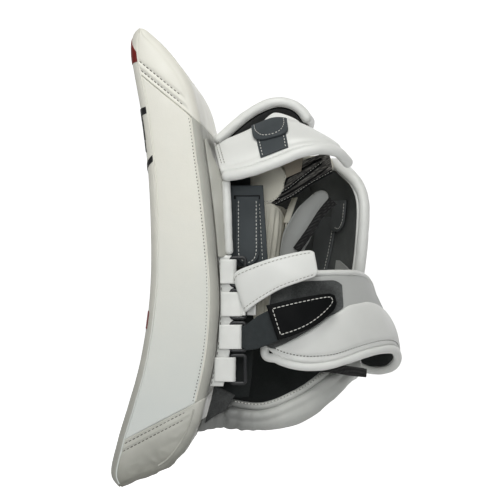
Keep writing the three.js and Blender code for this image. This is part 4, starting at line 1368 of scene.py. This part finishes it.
TAB_REACH = [-15.8, -10.8, -10.8, -16.5]
for i, letter in enumerate("abcd"):
    z = RING_ZS[i]
    ring_object(f"ring_{i + 1}_loop", z, f"ring_{letter}", [f"ring_{i + 1}"])
    tab = Ribbon(ring_tab_path(z, TAB_REACH[i]), z - TAB_HALF, z + TAB_HALF)
    pillow(
        f"ring_tab_{i + 1}_leather", tab, "board", "white_leather", -0.75, 0.75, edge=0.7,
        step=1.2, replaces=[f"ring_tab_{i + 1}"], relief=swells((0.3, 6, 61.0), (0.3, 14, 62.0)),
    )


class Strip(Surface):
    """The strip of leather that the ring tabs are sewn under, along the board's edge."""

    def base(self, u, v):
        z = -4.5 - 111 * u
        x = board_back_x(z) + 0.8 + 11.5 * v
        y = RING_Y + 2.0 - 1.2 * v - 0.8 * np.sin(math.pi * v)
        return np.stack([x, y, z], axis=-1)

    def out(self, u, v):
        u, v = pair(u, v)
        n = np.stack([0 * u - 0.1, 0 * u - 1, 0 * u], axis=-1)
        return n / np.linalg.norm(n, axis=-1)[:, None]


STRIP = Strip()
pillow("ring_tab_strip", STRIP, "board", "white_leather", -0.9, 0.9, edge=0.8, step=1.8,
       relief=swells((0.5, 12, 64.0)))

WRIST_TOP = [
    (-14.2, -87.6, -24), (-12, -90, -18), (2, -92, -12), (20.5, -93, -6), (40, -91.5, -1.5),
    (53, -89, 0.3),
]
WRIST_BOTTOM = [
    (-4.2, -87.6, -52.5), (-1.5, -90.2, -50), (9.6, -92.5, -42), (25, -94, -33),
    (41, -93.5, -27), (57, -90, -21.5),
]
WRIST = Between(WRIST_TOP, WRIST_BOTTOM, 0, (20, 0, -20))


def wrist_ends(u):
    w = max(0.0, (u - 0.93) / 0.07)
    return 0.10 * w**2, 1 - 0.10 * w**2


def strap_fold(z):
    """A strap's end, folded round a ring's outer bar."""
    arc = np.linspace(math.radians(-80), math.radians(-262), 24)
    loop = [(BAR_X + 3.05 * math.cos(a), RING_Y + 3.05 * math.sin(a)) for a in arc]
    path = resample([*loop, (BAR_X + 5.0, RING_Y + 2.0), (BAR_X + 9.0, RING_Y - 1.4)], 0.6)
    return Ribbon(path, z - STRAP_HALF, z + STRAP_HALF)


def wrist_relief(U, V, P):
    stitched = np.exp(-(((V - 0.09) / 0.03) ** 2)) + np.exp(-(((V - 0.91) / 0.03) ** 2))
    return 0.7 * (4 * V * (1 - V)) - 0.5 * stitched + 0.3 * flow(P, 16, 63.0)


pillow(
    "wrist_strap_leather", WRIST, WRIST_BEND, "white_leather", -1.5, 1.5, v=wrist_ends,
    edge=1.3, step=1.4, relief=wrist_relief, replaces=["wrist_strap"],
)
pillow(
    "wrist_strap_fold", strap_fold(RING_ZS[1]),
    WRIST_BEND, "white_leather", -0.8, 0.8, edge=0.7, step=1.2,
)

ELASTIC_TOP = [
    (-5, -88.2, -64), (6, -87.5, -55.5), (20, -88, -48.5),
]
ELASTIC_BOTTOM = [
    (-5, -88.2, -84.5), (6, -88.5, -83), (24, -89.5, -76),
]
ELASTIC = Between(ELASTIC_TOP, ELASTIC_BOTTOM, 0, (20, 0, -60))
pillow(
    "closing_elastic", ELASTIC, ELASTIC_BEND, "elastic", -1.0, 1.0, edge=0.7, step=1.4,
    replaces=["closing_strap"],
)
pillow(
    "closing_elastic_fold", strap_fold(RING_ZS[2]),
    ELASTIC_BEND, "elastic", -0.8, 0.8, edge=0.6, step=1.2,
)
HOOK_TOP = [
    (13, -91.6, -46.5), (34, -93, -41.5), (56, -88, -37.5), (70, -81.5, -36.5),
]
HOOK_BOTTOM = [
    (23, -92.6, -76), (40, -92.5, -70), (58, -88.5, -61), (73, -80.5, -48),
]
HOOK = Between(HOOK_TOP, HOOK_BOTTOM, 0, (40, 0, -60))


def hook_ends(u):
    w = max(0.0, (u - 0.9) / 0.1)
    return 0.16 * w**2, 1 - 0.30 * w**2


pillow(
    "hook_tab_leather", HOOK, "cuff_closure", "black_leather", -1.0, 1.6, v=hook_ends,
    edge=1.1, step=1.4, replaces=["hook_tab"],
    relief=lambda U, V, P: 0.5 * (16 * U * (1 - U) * V * (1 - V)) ** 0.5 + 0.2 * flow(P, 12, 65.0),
)

# ------------------------------------------------------------------ the wrist cuff
CUFF_TOP = [
    (-24, -64, -131), (8, -70, -134), (36, -67, -124), (60, -53, -109), (78, -27, -92),
    (83, 8, -75), (70, 42, -62), (38, 62, -52), (2, 69, -49), (-24, 69, -48),
]
CUFF_BOTTOM = [
    (-30, -58, -151), (2, -64, -153), (35, -63, -150), (62, -50, -134), (80, -24, -119),
    (88, 10, -119), (74, 46, -131), (40, 66, -144), (2, 73, -151), (-28, 73, -151),
]
CUFF = Between(CUFF_TOP, CUFF_BOTTOM, 5, (25, 0, -110))
CUFF_U = np.linspace(0, 1, 60)
CUFF_LENGTHS = np.linalg.norm(CUFF(CUFF_U, np.zeros(60)) - CUFF(CUFF_U, np.ones(60)), axis=1)


def cuff_edge(u):
    return (RIM - 0.8) / float(np.interp(u, CUFF_U, CUFF_LENGTHS))


def cuff_relief(U, V, P):
    length = np.interp(U, CUFF_U, CUFF_LENGTHS)
    down = V * length
    ridge = 1.5 * np.sin(np.clip((down - 3.5) / 7.5, 0, 1) * math.pi)
    belly = 2.0 * np.sin(np.clip((down - 11) / np.maximum(length - 11, 4), 0, 1) * math.pi) ** 0.7
    gathers = 0.8 * np.sin(P[..., 0] / 1.7 + 3 * flow(P, 12, 71.0))
    gathers = gathers * np.exp(-((U - 0.02) / 0.09) ** 2)
    creases = -0.9 * np.maximum(0, flow(P * np.array([0.6, 0.6, 1.4]), 13, 74.0)) ** 0.7
    return ridge + belly + gathers + creases + 0.6 * flow(P, 20, 72.0) + 0.15 * flow(P, 6, 73.0)


# The cuff's leather and its rim carry painted shade, darker towards the board.
pillow(
    "wrist_cuff_leather", CUFF, "board", "cuff_leather", -3.5, 3.0,
    v=lambda u: (cuff_edge(u), 1), edge=3, step=1.8, relief=cuff_relief,
    replaces=["wrist_cuff_pad"], fill=0.55, inflate=(2.0, 1.5),
)
lining("wrist_cuff_inside", CUFF, "board", -5.5, -3.8, v=lambda u: (cuff_edge(u), 0.98),
       replaces=["wrist_cuff_lining"])
cuff_rim = CUFF(np.linspace(0, 1, 220), np.zeros(220))
tube("wrist_cuff_bound_rim", cuff_rim, RIM, "board", "cuff_leather", ["wrist_cuff_rim"],
     fill=0.6, sides=20, relief=puckers(0.4, 5, 6.0))
ANCHOR = Between(
    [(-31, -76, -115), (-23, -77, -119), (-14, -77, -123.5)],
    [(-40, -76, -148), (-32, -76, -142), (-22, -76, -136.5)],
    0, (-20, 0, -130),
)
pillow(
    "cuff_anchor_felt", ANCHOR, "board", "grey_felt", 0, 2.6, edge=1.0, step=1.6,
    replaces=["cuff_anchor"], relief=swells((0.5, 8, 75.0)),
)
WEB = Between(
    [(45, -70, -96), (66.8, -68, -97.5), (84, -63, -100), (98, -55, -102.5)],
    [(45, -70, -104), (66.8, -67, -104.8), (84, -62, -108), (97.5, -54, -110)],
    0, (60, 40, -100),
)
for layer, (low, high) in enumerate(((0.4, 2.6), (-2.2, 0.2))):
    pillow(
        f"webbing_end_{layer + 1}", WEB, "board", "webbing", low, high, u=(0, 1 - 0.03 * layer),
        edge=1.0, step=1.5, replaces=["webbing_end"] if layer == 0 else (),
    )

# ------------------------------------------------------------------ glove: sleeve, fingers, thumb
# Each section of the sleeve: its height, its centre along X, and half its width along X and Y.
SLEEVE_FOOT, SLEEVE_TOP = -60, 41
SECTIONS = [
    (SLEEVE_FOOT, 0, 20.5, 45), (-20, 0, 21.5, 48), (15, 3, 24.5, 49), (SLEEVE_TOP, 5, 26, 49),
]
THUMB_CUT = 15


def sleeve_section(z):
    """The sleeve's centre and its two half widths at a height."""
    table = np.array(SECTIONS, float)
    return (np.interp(z, table[:, 0], table[:, k]) for k in (1, 2, 3))


def sleeve():
    """The hand sleeve: soft folds along it, and a slanted cut for the thumb."""
    sides, rows = 200, 52
    angle = np.linspace(0, 2 * math.pi, sides + 1)
    gap = np.angle(np.exp(1j * (angle - math.radians(-8))))
    top = SLEEVE_TOP - THUMB_CUT * np.exp(-((gap / 0.65) ** 2))
    share = np.linspace(0, 1, rows)[:, None]
    z = SLEEVE_FOOT + (top - SLEEVE_FOOT) * share
    cx, a, b = sleeve_section(z)
    near = np.exp(-((np.angle(np.exp(1j * (angle - math.radians(-52)))) / 0.6) ** 2))
    drift = 0.25 * np.sin(z / 23)
    folds = 1.3 * np.sin(angle * 30 + drift * 4) * near * np.clip((1 - share) * 9, 0, 1)
    slow = 0.8 * np.sin(angle * 7 + z / 18)
    out = []
    for inset in (0.0, 2.2):
        reach = folds + slow - inset
        x = cx + (a + reach) * np.cos(angle)
        y = (b + reach) * np.sin(angle)
        out.append(np.stack([x, y, z], axis=-1))
    return out


def closed_tube_shell(name, outer, inner, body, material, replaces):
    """A tube with a wall: outer and inner grids whose last column repeats the first."""
    outer, inner = outer[:, :-1], inner[:, :-1]
    n, m = outer.shape[:2]
    points = np.vstack([outer.reshape(-1, 3), inner.reshape(-1, 3)])
    faces = []
    size = n * m
    for i in range(n - 1):
        for j in range(m):
            k = (j + 1) % m
            faces.append((i * m + j, i * m + k, (i + 1) * m + k, (i + 1) * m + j))
            faces.append((size + i * m + j, size + (i + 1) * m + j,
                          size + (i + 1) * m + k, size + i * m + k))
    for j in range(m):
        k = (j + 1) % m
        faces.append((j, size + j, size + k, k))
        last = (n - 1) * m
        faces.append((last + j, last + k, size + last + k, size + last + j))
    return closed_piece(name, points, faces, body, material, replaces)


sleeve_outer, sleeve_inner = sleeve()
closed_tube_shell("sleeve_leather", sleeve_outer, sleeve_inner, "board", "palm_leather",
                  ["hand_sleeve"])
for end, row in (("wrist", 0), ("knuckle", -1)):
    hem = (sleeve_outer[row] + sleeve_inner[row]) / 2
    tube(f"sleeve_hem_{end}", resample(hem, 1.6), 1.5, "board", "palm_leather", sides=10)

PALM_REACH = 36.0


class Palm(Surface):
    """The palm side of the sleeve: u up the hand, v across it."""

    def base(self, u, v):
        z = SLEEVE_FOOT + 1 + (SLEEVE_TOP - SLEEVE_FOOT - 1) * u
        cx, a, b = sleeve_section(z - 1)
        y = PALM_REACH * (2 * v - 1)
        x = cx + a * np.sqrt(1 - (y / b) ** 2) + 1.2
        return np.stack([x, y, z], axis=-1)

    def out(self, u, v):
        u, v = pair(u, v)
        y = PALM_REACH * (2 * v - 1)
        n = np.stack([np.ones_like(y), y / 60, np.zeros_like(y)], axis=-1)
        return n / np.linalg.norm(n, axis=1)[:, None]


PALM = Palm()


def palm_relief(U, V, P):
    creases = -0.7 * np.exp(-(((U - 0.55 - 0.1 * np.sin(3 * V)) / 0.02) ** 2))
    return creases + 0.4 * flow(P, 14, 81.0) + 0.12 * flow(P, 5, 82.0)


pillow(
    "palm_leather_patch", PALM, "board", "palm_leather", 0.2, 1.8, u=(0.03, 0.97), v=(0.2, 1),
    edge=0.9, relief=palm_relief, replaces=["palm_patch"],
)
PAD_LINE = [p for p in BACK_LINE if abs(p[1]) < 60]
BACK_PAD = Between(
    [(x, -44, z) for x, z in PAD_LINE], [(x, 44, z) for x, z in PAD_LINE], 0, (-80, 0, 0)
)


def quilted(U, V, P):
    return 0.8 * np.abs(np.sin(V * 4 * math.pi) * np.sin(U * 3 * math.pi)) ** 0.5 - 0.8


pillow(
    "back_of_hand_pad", BACK_PAD, "board", "dark_lining", 1.0, 5.0, edge=2.5, step=2.0,
    relief=quilted, replaces=["hand_back_pad"], fill=0.4,
)

FINGER_YS = [-34, -11.5, 11.5, 34]
FINGER_TIPS = [70, 71, 67, 59]
FINGER_NAMES = ["index", "middle", "ring", "little"]


def finger_relief(seed):
    def relief(P, s):
        knuckle = np.exp(-(((s - 0.42) / 0.10) ** 2)) + np.exp(-(((s - 0.7) / 0.07) ** 2))
        creases = np.sin(s * 120)[:, None] * knuckle[:, None] * 0.35
        return creases + 0.5 * flow(P, 11, seed)

    return relief


for i, (y, tip) in enumerate(zip(FINGER_YS, FINGER_TIPS)):
    path = smooth_path([(4, y, 44.5), (8, y, 58), (24, y, 71), (44, y, 74), (tip, y, 77)], 1.6)
    tube(
        f"finger_{FINGER_NAMES[i]}_leather", path, lambda s: 9.9 - 1.7 * s, "fingers",
        "palm_leather", [f"finger_{FINGER_NAMES[i]}"], fill=0.3, sides=28,
        relief=finger_relief(90.0 + i), flat=0.92, flat_axis=(0, 1, 0),
    )
    for j, side in enumerate((-1, 1)):
        seam = path[3:-2] + np.array([1.5, side * 8.3, -1.5])
        if i:
            tube(f"finger_{FINGER_NAMES[i]}_seam_{j + 1}", seam, 1.0, "fingers", "grey_leather",
                 sides=8)
# The index finger's thumb side: leather patches, a mesh wall and dark pipings.
BASE_PATCH = Between(
    [(-9, -38, 64), (6, -43, 74), (20, -46.5, 75), (29.5, -47, 65)],
    [(-9, -42, 48), (6, -45.5, 41), (18.5, -46.8, 43.5), (26, -47, 54.5)],
    2, (10, 0, 60),
)
pillow("index_base_patch", BASE_PATCH, "fingers", "palm_leather", 0, 1.8, edge=1.2, step=1.4,
       relief=swells((0.5, 10, 86.0)))
SECOND_PATCH = Between(
    [(26, -47, 75), (44, -46.5, 84)], [(29, -48, 63), (42, -47.5, 69)], 0.8, (40, 0, 62)
)
pillow("index_second_patch", SECOND_PATCH, "fingers", "patch_leather", 0, 1.5, edge=0.8, step=1.4)
WALL = Between(
    [(14, -43.5, 52), (28, -45.5, 66), (44, -45.5, 78), (66, -42, 86)],
    [(18.9, -43.5, 40.3), (34.7, -44.5, 48.2), (49, -43.5, 57.8), (69, -39.5, 69.4)],
    1.5, (40, 0, 62),
)


def wall_relief(U, V, P):
    return 0.9 * np.sin(V * 15 + U * 3) * (0.4 + U) + 0.5 * flow(P, 7, 87.0)


pillow("index_mesh_wall", WALL, "fingers", "mesh_cloth", 0, 1.4, edge=0.7, step=1.2,
       relief=wall_relief)
PIPINGS = [
    [(18.9, -45, 40.0), (34.7, -46.2, 47.8), (48.5, -45.2, 57.4), (69, -41, 69)],
    [(14.5, -45.5, 47), (27.8, -47.5, 52), (41.8, -47.5, 62.5), (60, -45, 76.5)],
    [(27, -47.2, 56), (31, -47.8, 64), (43, -47.6, 70.5), (60, -45, 80)],
    [(21, -45.8, 44.5), (36, -47, 52.5), (50, -46.3, 61.5), (66, -43, 72.5)],
    [(14.2, -46.5, 44.5), (17, -47.6, 48.6), (19.5, -47.6, 43.4), (23.5, -47, 45.0)],
]
for row, (points, radius) in enumerate(zip(PIPINGS, (1.5, 1.6, 1.2, 1.1, 0.9))):
    tube(f"index_wall_piping_{row + 1}", smooth_path(points, 1.2), radius, "fingers",
         "black_leather", sides=8, relief=puckers(0.2, 3, 11.0 + row))
DARK_PANELS = {
    "knuckle_lining": Between(
        [(-30, -62, 44), (-18, -60, 45), (-2, -56, 46)],
        [(-30, -60, 70), (-18, -58, 72), (-2, -52, 74)],
        0, (-10, 0, 60),
    ),
    "wrist_side_lining": Between(
        [(-25, -66, -20), (-26, -66, -60), (-30, -66, -100), (-35, -66, -127)],
        [(1, -62, -20), (1, -62, -60), (0, -62, -100), (-3, -63, -127)],
        0, (-10, 0, -60),
    ),
}
for name, surface in DARK_PANELS.items():
    pillow(name, surface, "board", "dark_lining", -1.0, 1.0, edge=0.8, step=2.5,
           relief=swells((0.5, 12, 98.0)))
INNER_FOLD = Between(
    [(26.5, -20, 24), (30, -19, 36), (34, -16, 46)], [(31, -22, 24), (35, -20, 37), (38, -16, 47)],
    0.8, (30, 40, 40),
)
pillow("thumb_crotch_leather", INNER_FOLD, "board", "palm_leather", 0, 1.6, edge=0.8, step=1.4)

THUMB_PATH = [(30, -29, -34), (31, -32, -12), (36, -32, 8), (47, -31, 29), (63.5, -26, 52)]
THUMB_SIZES = [(0, 8.0), (0.25, 9.0), (0.5, 12.0), (0.75, 11.0), (1, 6.0)]


def thumb_radius(s):
    return float(np.interp(s, *zip(*THUMB_SIZES)))


thumb_line = smooth_path(THUMB_PATH, 1.5)
tube(
    "thumb_leather", thumb_line, thumb_radius, "thumb", "thumb_leather", ["thumb"], fill=0.3,
    sides=34, relief=puckers(0.6, 9, 8.0), flat=0.74, flat_axis=(0, 1, 0),
)
THUMB_SHARE = np.linspace(0, 1, len(thumb_line))[5:-5]
THUMB_SPREAD = np.array([thumb_radius(s) for s in THUMB_SHARE])[:, None]
left_edge = thumb_line[5:-5] + np.array([-0.86, -0.25, 0.42]) * THUMB_SPREAD
tube("thumb_seam", left_edge, 0.8, "thumb", "thumb_leather", sides=8)
BAND = Between(
    [(34.5, -42, 2.2), (46, -42, 18), (56.6, -42, 34.6), (66.5, -39, 46.5)],
    [(40.2, -41, -2.2), (51.6, -41, 13.6), (62.2, -41, 30.4), (73, -38, 40)],
    0, (50, 0, 20),
)
pillow("thumb_band_webbing", BAND, "thumb", "webbing", 0.4, 3.0, edge=1.1, step=1.3,
       replaces=["thumb_band"])

# ------------------------------------------------------------------ side panel and its strap
PANEL_Y = -68.0


class Upright(Flat):
    """A flat piece that faces the thumb side: u down it, v across it."""

    def __init__(self, corners, y):
        super().__init__(-1)
        self.corners = [np.array(c, float) for c in corners]
        self.y = y

    def base(self, u, v):
        a, b, c, d = self.corners
        left = a + (c - a) * u[:, None]
        right = b + (d - b) * u[:, None]
        xz = left + (right - left) * v[:, None]
        return np.stack([xz[:, 0], np.full(len(u), self.y), xz[:, 1]], axis=-1)


SLOT_X0, SLOT_X1 = -14.5, 7.0
MAIN_PANEL = Upright([(-20, 55.5), (9.6, 55.5), (-18.5, -14), (14.0, -14)], PANEL_Y)
pillow(
    "side_panel_leather", MAIN_PANEL, "board", "grey_leather", 0, 2.6, edge=0.9, step=1.8,
    replaces=["side_panel"], relief=swells((0.25, 18, 93.0)),
)
SLIT = Upright([(-15.5, 46.8), (7.0, 46.8), (-15.5, 43.6), (7.0, 43.6)], PANEL_Y - 2.2)
pillow("side_panel_slit", SLIT, "board", "black_leather", 0, 1.0, edge=0.4, step=1.2)
STRAP_X = (SLOT_X0 + SLOT_X1) / 2
STRAP = Upright(
    [(STRAP_X - 10, 46.0), (STRAP_X + 10, 46.0), (STRAP_X - 10, -13), (STRAP_X + 10, -13)],
    PANEL_Y - 3.1,
)


def strap_ends(u):
    below = max(0.0, (u - 0.83) / 0.17)
    w = 0.5 * (1 - math.sqrt(max(0.0, 1 - below**2)))
    return w * 0.96, 1 - w * 0.96


pillow(
    "side_strap_leather", STRAP, "side_tongue", "grey_leather", 0, 2.2, v=strap_ends, edge=0.9,
    step=1.3, replaces=["side_strap"],
    relief=lambda U, V, P: 0.35 * (4 * V * (1 - V)) + 0.25 * flow(P, 15, 95.0),
)
BOLSTER = [(-21.5, -83, 60), (-20.5, -84, 42), (-19.5, -84, 17), (-18.5, -82, -4)]
tube("side_bolster", smooth_path(BOLSTER, 1.5), 3.6, "board", "white_leather", fill=0.6,
     sides=18, relief=puckers(0.5, 7, 9.0))

BOLSTER_ZS = (94, 78, 62, 46, 30, 12, -6)
BOLSTER_XS = (-39, -33, -25, -20.5, -20.5, -20.5, -20.5)
BOLSTER_BASE = Between(
    [(board_back_x(z) + 0.6, -86, z) for z in BOLSTER_ZS],
    [(x, -80, z) for x, z in zip(BOLSTER_XS, BOLSTER_ZS)], 1.0, (-24, 0, 30),
)
# The bolster's base uses the rear leather, darkened as painted shade.
pillow("side_bolster_base", BOLSTER_BASE, "board", "rear_leather", -1.0, 1.4, edge=1.0, step=1.6,
       relief=swells((0.6, 10, 96.0)))
GATHER = Between(
    [(-17, -67, -131), (-25, -69, -134), (-34, -72, -139), (-43, -74, -146)],
    [(-22, -62, -152.5), (-30, -65, -153), (-39, -70, -154), (-49, -74, -155)],
    1.5, (-30, 0, -130),
)


def gather_relief(U, V, P):
    return 1.2 * np.abs(np.sin(U * 11 + 2.2 * V)) + 0.6 * flow(P, 8, 97.0)


# The gathered end uses the cuff's leather, with its painted shade.
pillow("cuff_gathered_end", GATHER, "board", "cuff_leather", -1.2, 1.2, edge=1.2, step=1.2,
       relief=gather_relief)

# ------------------------------------------------------------------ stitching
white = {
    body: Threads(f"stitches_{body}", body, "white_thread")
    for body in ("finger_guard", "index_tab", "thumb_guard", "cuff_closure", "side_tongue",
                 "board", "fingers")
}
dull = {
    body: Threads(f"dull_stitches_{body}", body, "grey_thread")
    for body in ("finger_guard", "fingers")
}
wrist_stitches = Threads("dull_stitches_wrist_closure", WRIST_BEND, "grey_thread")
# Needle holes: dark marks painted as the shade in the holes and on the sunk thread.
holes = Threads("needle_holes_board", "board", "needle_hole")
flap_holes = Threads("needle_holes_flap", "cuff_flap", "needle_hole")

# Two rows of dark needle-hole marks, painted shade, beside each slanted seam, on both sides, then
# one down each gusset.
for sock, relief in ((TOP_SOCK, TOP_RELIEF), (BOTTOM_SOCK, BOTTOM_RELIEF)):
    for distance in ROW_DISTANCES:
        for flip in (0, 1):
            vs = abs(flip - np.linspace(0.03, ROW_REACH, 60) * sock.SIDE)
            us = np.linspace(0.5, 1, 300)
            row_u = []
            for v in vs:
                far = sock.from_seam(sock(us, np.full_like(us, v)))
                row_u.append(us[np.argmin(np.abs(far - distance))])
            row_u = np.array(row_u)
            path = sock(row_u, vs)
            lift = 0.65 + relief(row_u, vs, path)
            ups = sock.out(row_u, vs)
            holes.row(path + ups * lift[:, None], ups, pitch=3.6, length=2.5, width=1.0)
GUSSET_ROW = 0.955
for side in (NEAR_SIDE, FAR_SIDE):
    ends = [np.interp(GUSSET_ROW, V_SAMPLES, SEAM_AT[corner]) for corner in ("top", "bottom")]
    us = np.linspace(ends[0] + 0.006, ends[1] - 0.006, 300)
    vs = np.full_like(us, GUSSET_ROW)
    path = side(us, vs, 0.55)
    holes.row(path, side.out(us, vs), pitch=2.9, length=1.3, width=0.8, height=0.6)

TAB_STITCH = [(0.350, 0.16), (0.352, 0.33), (0.385, 0.49), (0.45, 0.57), (0.515, 0.56),
              (0.548, 0.43), (0.550, 0.26)]
KEEPER_STITCH = [(0.66, 0.43), (0.58, 0.47), (0.53, 0.49), (0.49, 0.56), (0.495, 0.64)]
STRAP_STITCH = [(0.06, 0.12), (0.5, 0.12), (0.83, 0.13), (0.93, 0.28), (0.965, 0.5),
                (0.93, 0.72), (0.83, 0.87), (0.5, 0.88), (0.06, 0.88)]
HOOK_STITCH = [(0.07, 0.13), (0.5, 0.13), (0.86, 0.17), (0.93, 0.34), (0.86, 0.60),
               (0.5, 0.84), (0.07, 0.87)]
GUARD, DULL, CLOSURE = white["finger_guard"], dull["finger_guard"], white["cuff_closure"]
# Each row: its threads, surface, line and offset, then the stitches' pitch, length and width.
STITCH_ROWS = [
    *((DULL, INDEX, [(u, 0.06), (u, 0.78)], 6.5, 3.2, 2.2, 0.6) for u in (0.035, 0.06)),
    *((GUARD, INDEX, [(u, 0.5), (u, 0.86)], 6.5, 3.3, 2.1, 0.65) for u in (0.36, 0.536)),
    (white["index_tab"], INDEX, TAB_STITCH, 9.2, 3.0, 1.9, 0.6),
    (white["thumb_guard"], THUMB, [(0.05, 0.805), (0.53, 0.70)], -4.9, 3.0, 2.1, 0.9),
    (white["thumb_guard"], THUMB, KEEPER_STITCH, -7.0, 3.0, 2.1, 0.85),
    (white["side_tongue"], STRAP, STRAP_STITCH, 2.35, 3.2, 2.2, 0.75),
    (white["board"], MAIN_PANEL, [(0.22, 0.86), (0.97, 0.86)], 2.75, 3.3, 2.0, 0.55),
    (CLOSURE, HOOK, HOOK_STITCH, 1.9, 3.7, 2.8, 0.8),
    (CLOSURE, HOOK, [HOOK_STITCH[-1], HOOK_STITCH[0]], 1.9, 3.7, 2.8, 0.8),
]
for threads, surface, line, offset, pitch, length, width in STITCH_ROWS:
    threads.on(surface, line, offset, pitch=pitch, length=length, width=width)
for line in ([(0.03, 0.10), (0.95, 0.10)], [(0.95, 0.10), (0.95, 0.9)], [(0.95, 0.9), (0.03, 0.9)]):
    wrist_stitches.on(WRIST, line, 1.65, pitch=3.4, length=2.4, width=0.55, height=0.6)

# The flap's lower row, the cuff's rim, the index finger's wall and base, and the tabs' strip.
flap_line = np.linspace(0.09, 0.9, 200)
flap_row = np.full(200, 0.885)
flap_lift = 1.85 + flap_relief(flap_line, flap_row, FLAP(flap_line, flap_row))
flap_up = FLAP.out(flap_line, flap_row)
flap_holes.row(FLAP(flap_line, flap_row) + flap_up * flap_lift[:, None], flap_up, pitch=2.9,
               length=1.8, width=0.8, height=0.7)
rim_u = np.linspace(0.03, 0.97, 300)
rim_path = CUFF(rim_u, np.zeros(300))
rim_rise = rim_path - CUFF(rim_u, np.full(300, 0.1))
rim_rise /= np.linalg.norm(rim_rise, axis=1)[:, None]
rim_up = CUFF.out(rim_u, np.zeros(300)) + 0.15 * rim_rise
rim_up /= np.linalg.norm(rim_up, axis=1)[:, None]
white["board"].row(rim_path + rim_up * (RIM + 0.35), rim_up, pitch=3.0, length=2.0, width=0.9)
# A row of painted shade under the rim's stitches.
holes.row(rim_path + rim_up * (RIM + 0.15), rim_up, pitch=3.0, length=3.0, width=0.7)
for number, lift in ((0, 0.0), (1, 0.3), (4, 0.0)):
    wall = smooth_path(PIPINGS[number], 1.2) + np.array([0, -1.5 - lift, 0.4])
    white["fingers"].row(wall, np.tile([0.0, -1.0, 0.0], (len(wall), 1)), pitch=2.8, length=1.7,
                         width=0.45, height=0.4)
for line in ([(0.93, 0.05), (0.97, 0.5), (0.93, 0.95)], [(0.9, 0.94), (0.5, 0.95), (0.1, 0.95)]):
    dull["fingers"].on(BASE_PATCH, line, 2.0, pitch=2.8, length=1.6, width=0.45, height=0.4)
strip_u = np.linspace(0.01, 0.99, 120)
strip_v = np.full(120, 0.10)
strip_out = STRIP.out(strip_u, strip_v)
holes.row(STRIP(strip_u, strip_v, 1.15), strip_out, pitch=4.2, length=2.6, width=0.6)
for threads in (*white.values(), *dull.values(), wrist_stitches, holes, flap_holes):
    threads.finish()

# ------------------------------------------------------------------ inner parts of the board
INNER = {"strike_foam": "foam", "back_foam": "foam", "stiffener_plate": "stiffener"}
for node, material in INNER.items():
    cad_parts[node].data.materials.clear()
    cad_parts[node].data.materials.append(MATERIALS[material])


# ------------------------------------------------------------------ floor, backdrop and light
def studio_paper(name, glow):
    look = Look(name, 0.9, specular=0.1)
    look.paint(look.noise(40, 3), [(0.3, (0.74, 0.74, 0.74)), (0.7, (0.78, 0.78, 0.78))])
    look.set(look.shader, {"Emission Color": (1, 1, 1, 1), "Emission Strength": glow})
    return look.material


def studio_sheet(name, line, glow):
    """A sheet of paper that follows points in Y and Z, across the whole studio."""
    points = [(x, y, z) for x in (-6.0, 6.0) for y, z in line]
    n = len(line)
    mesh = bpy.data.meshes.new(name)
    mesh.from_pydata(points, [], [(i, i + 1, n + i + 1, n + i) for i in range(n - 1)])
    mesh.shade_smooth()
    mesh.materials.append(studio_paper(f"{name}_paper", glow))
    obj = bpy.data.objects.new(name, mesh)
    bpy.context.scene.collection.objects.link(obj)


def studio():
    """A pale floor that curves up into a lit backdrop."""
    floor_z = -0.36
    studio_sheet("studio_floor", [(-3.0, floor_z), (-1.0, floor_z), (0.55, floor_z)], 0.0)
    bend = [
        (1.4 + 1.0 * math.cos(a), floor_z + 1.0 + 1.0 * math.sin(a))
        for a in np.radians(np.linspace(-90, 0, 24))
    ]
    studio_sheet("studio_backdrop", [(0.55, floor_z), *bend, (2.4, 4.5)], 0.8)


def area_light(name, location, target, size, power, colour=(1, 1, 1)):
    data = bpy.data.lights.new(name, "AREA")
    data.shape = "SQUARE"
    data.size = size
    data.energy = power
    data.color = colour
    light = bpy.data.objects.new(name, data)
    light.location = location
    direction = Vector(target) - Vector(location)
    light.rotation_euler = direction.to_track_quat("-Z", "Y").to_euler()
    bpy.context.scene.collection.objects.link(light)


studio()
area_light("overhead", (-0.05, -0.75, 1.15), (0, 0, 0.05), 0.6, 8.5, (1.0, 0.99, 0.95))
area_light("front", (0.0, -1.9, 0.6), (0, 0, 0), 0.9, 14.5, (0.99, 1.0, 0.99))
world = bpy.data.worlds.new("studio")
bpy.context.scene.world = world
world.use_nodes = True
world.node_tree.nodes["Background"].inputs["Color"].default_value = (1, 1, 1, 1)
world.node_tree.nodes["Background"].inputs["Strength"].default_value = 0.09
bpy.context.scene.view_settings.view_transform = "Standard"
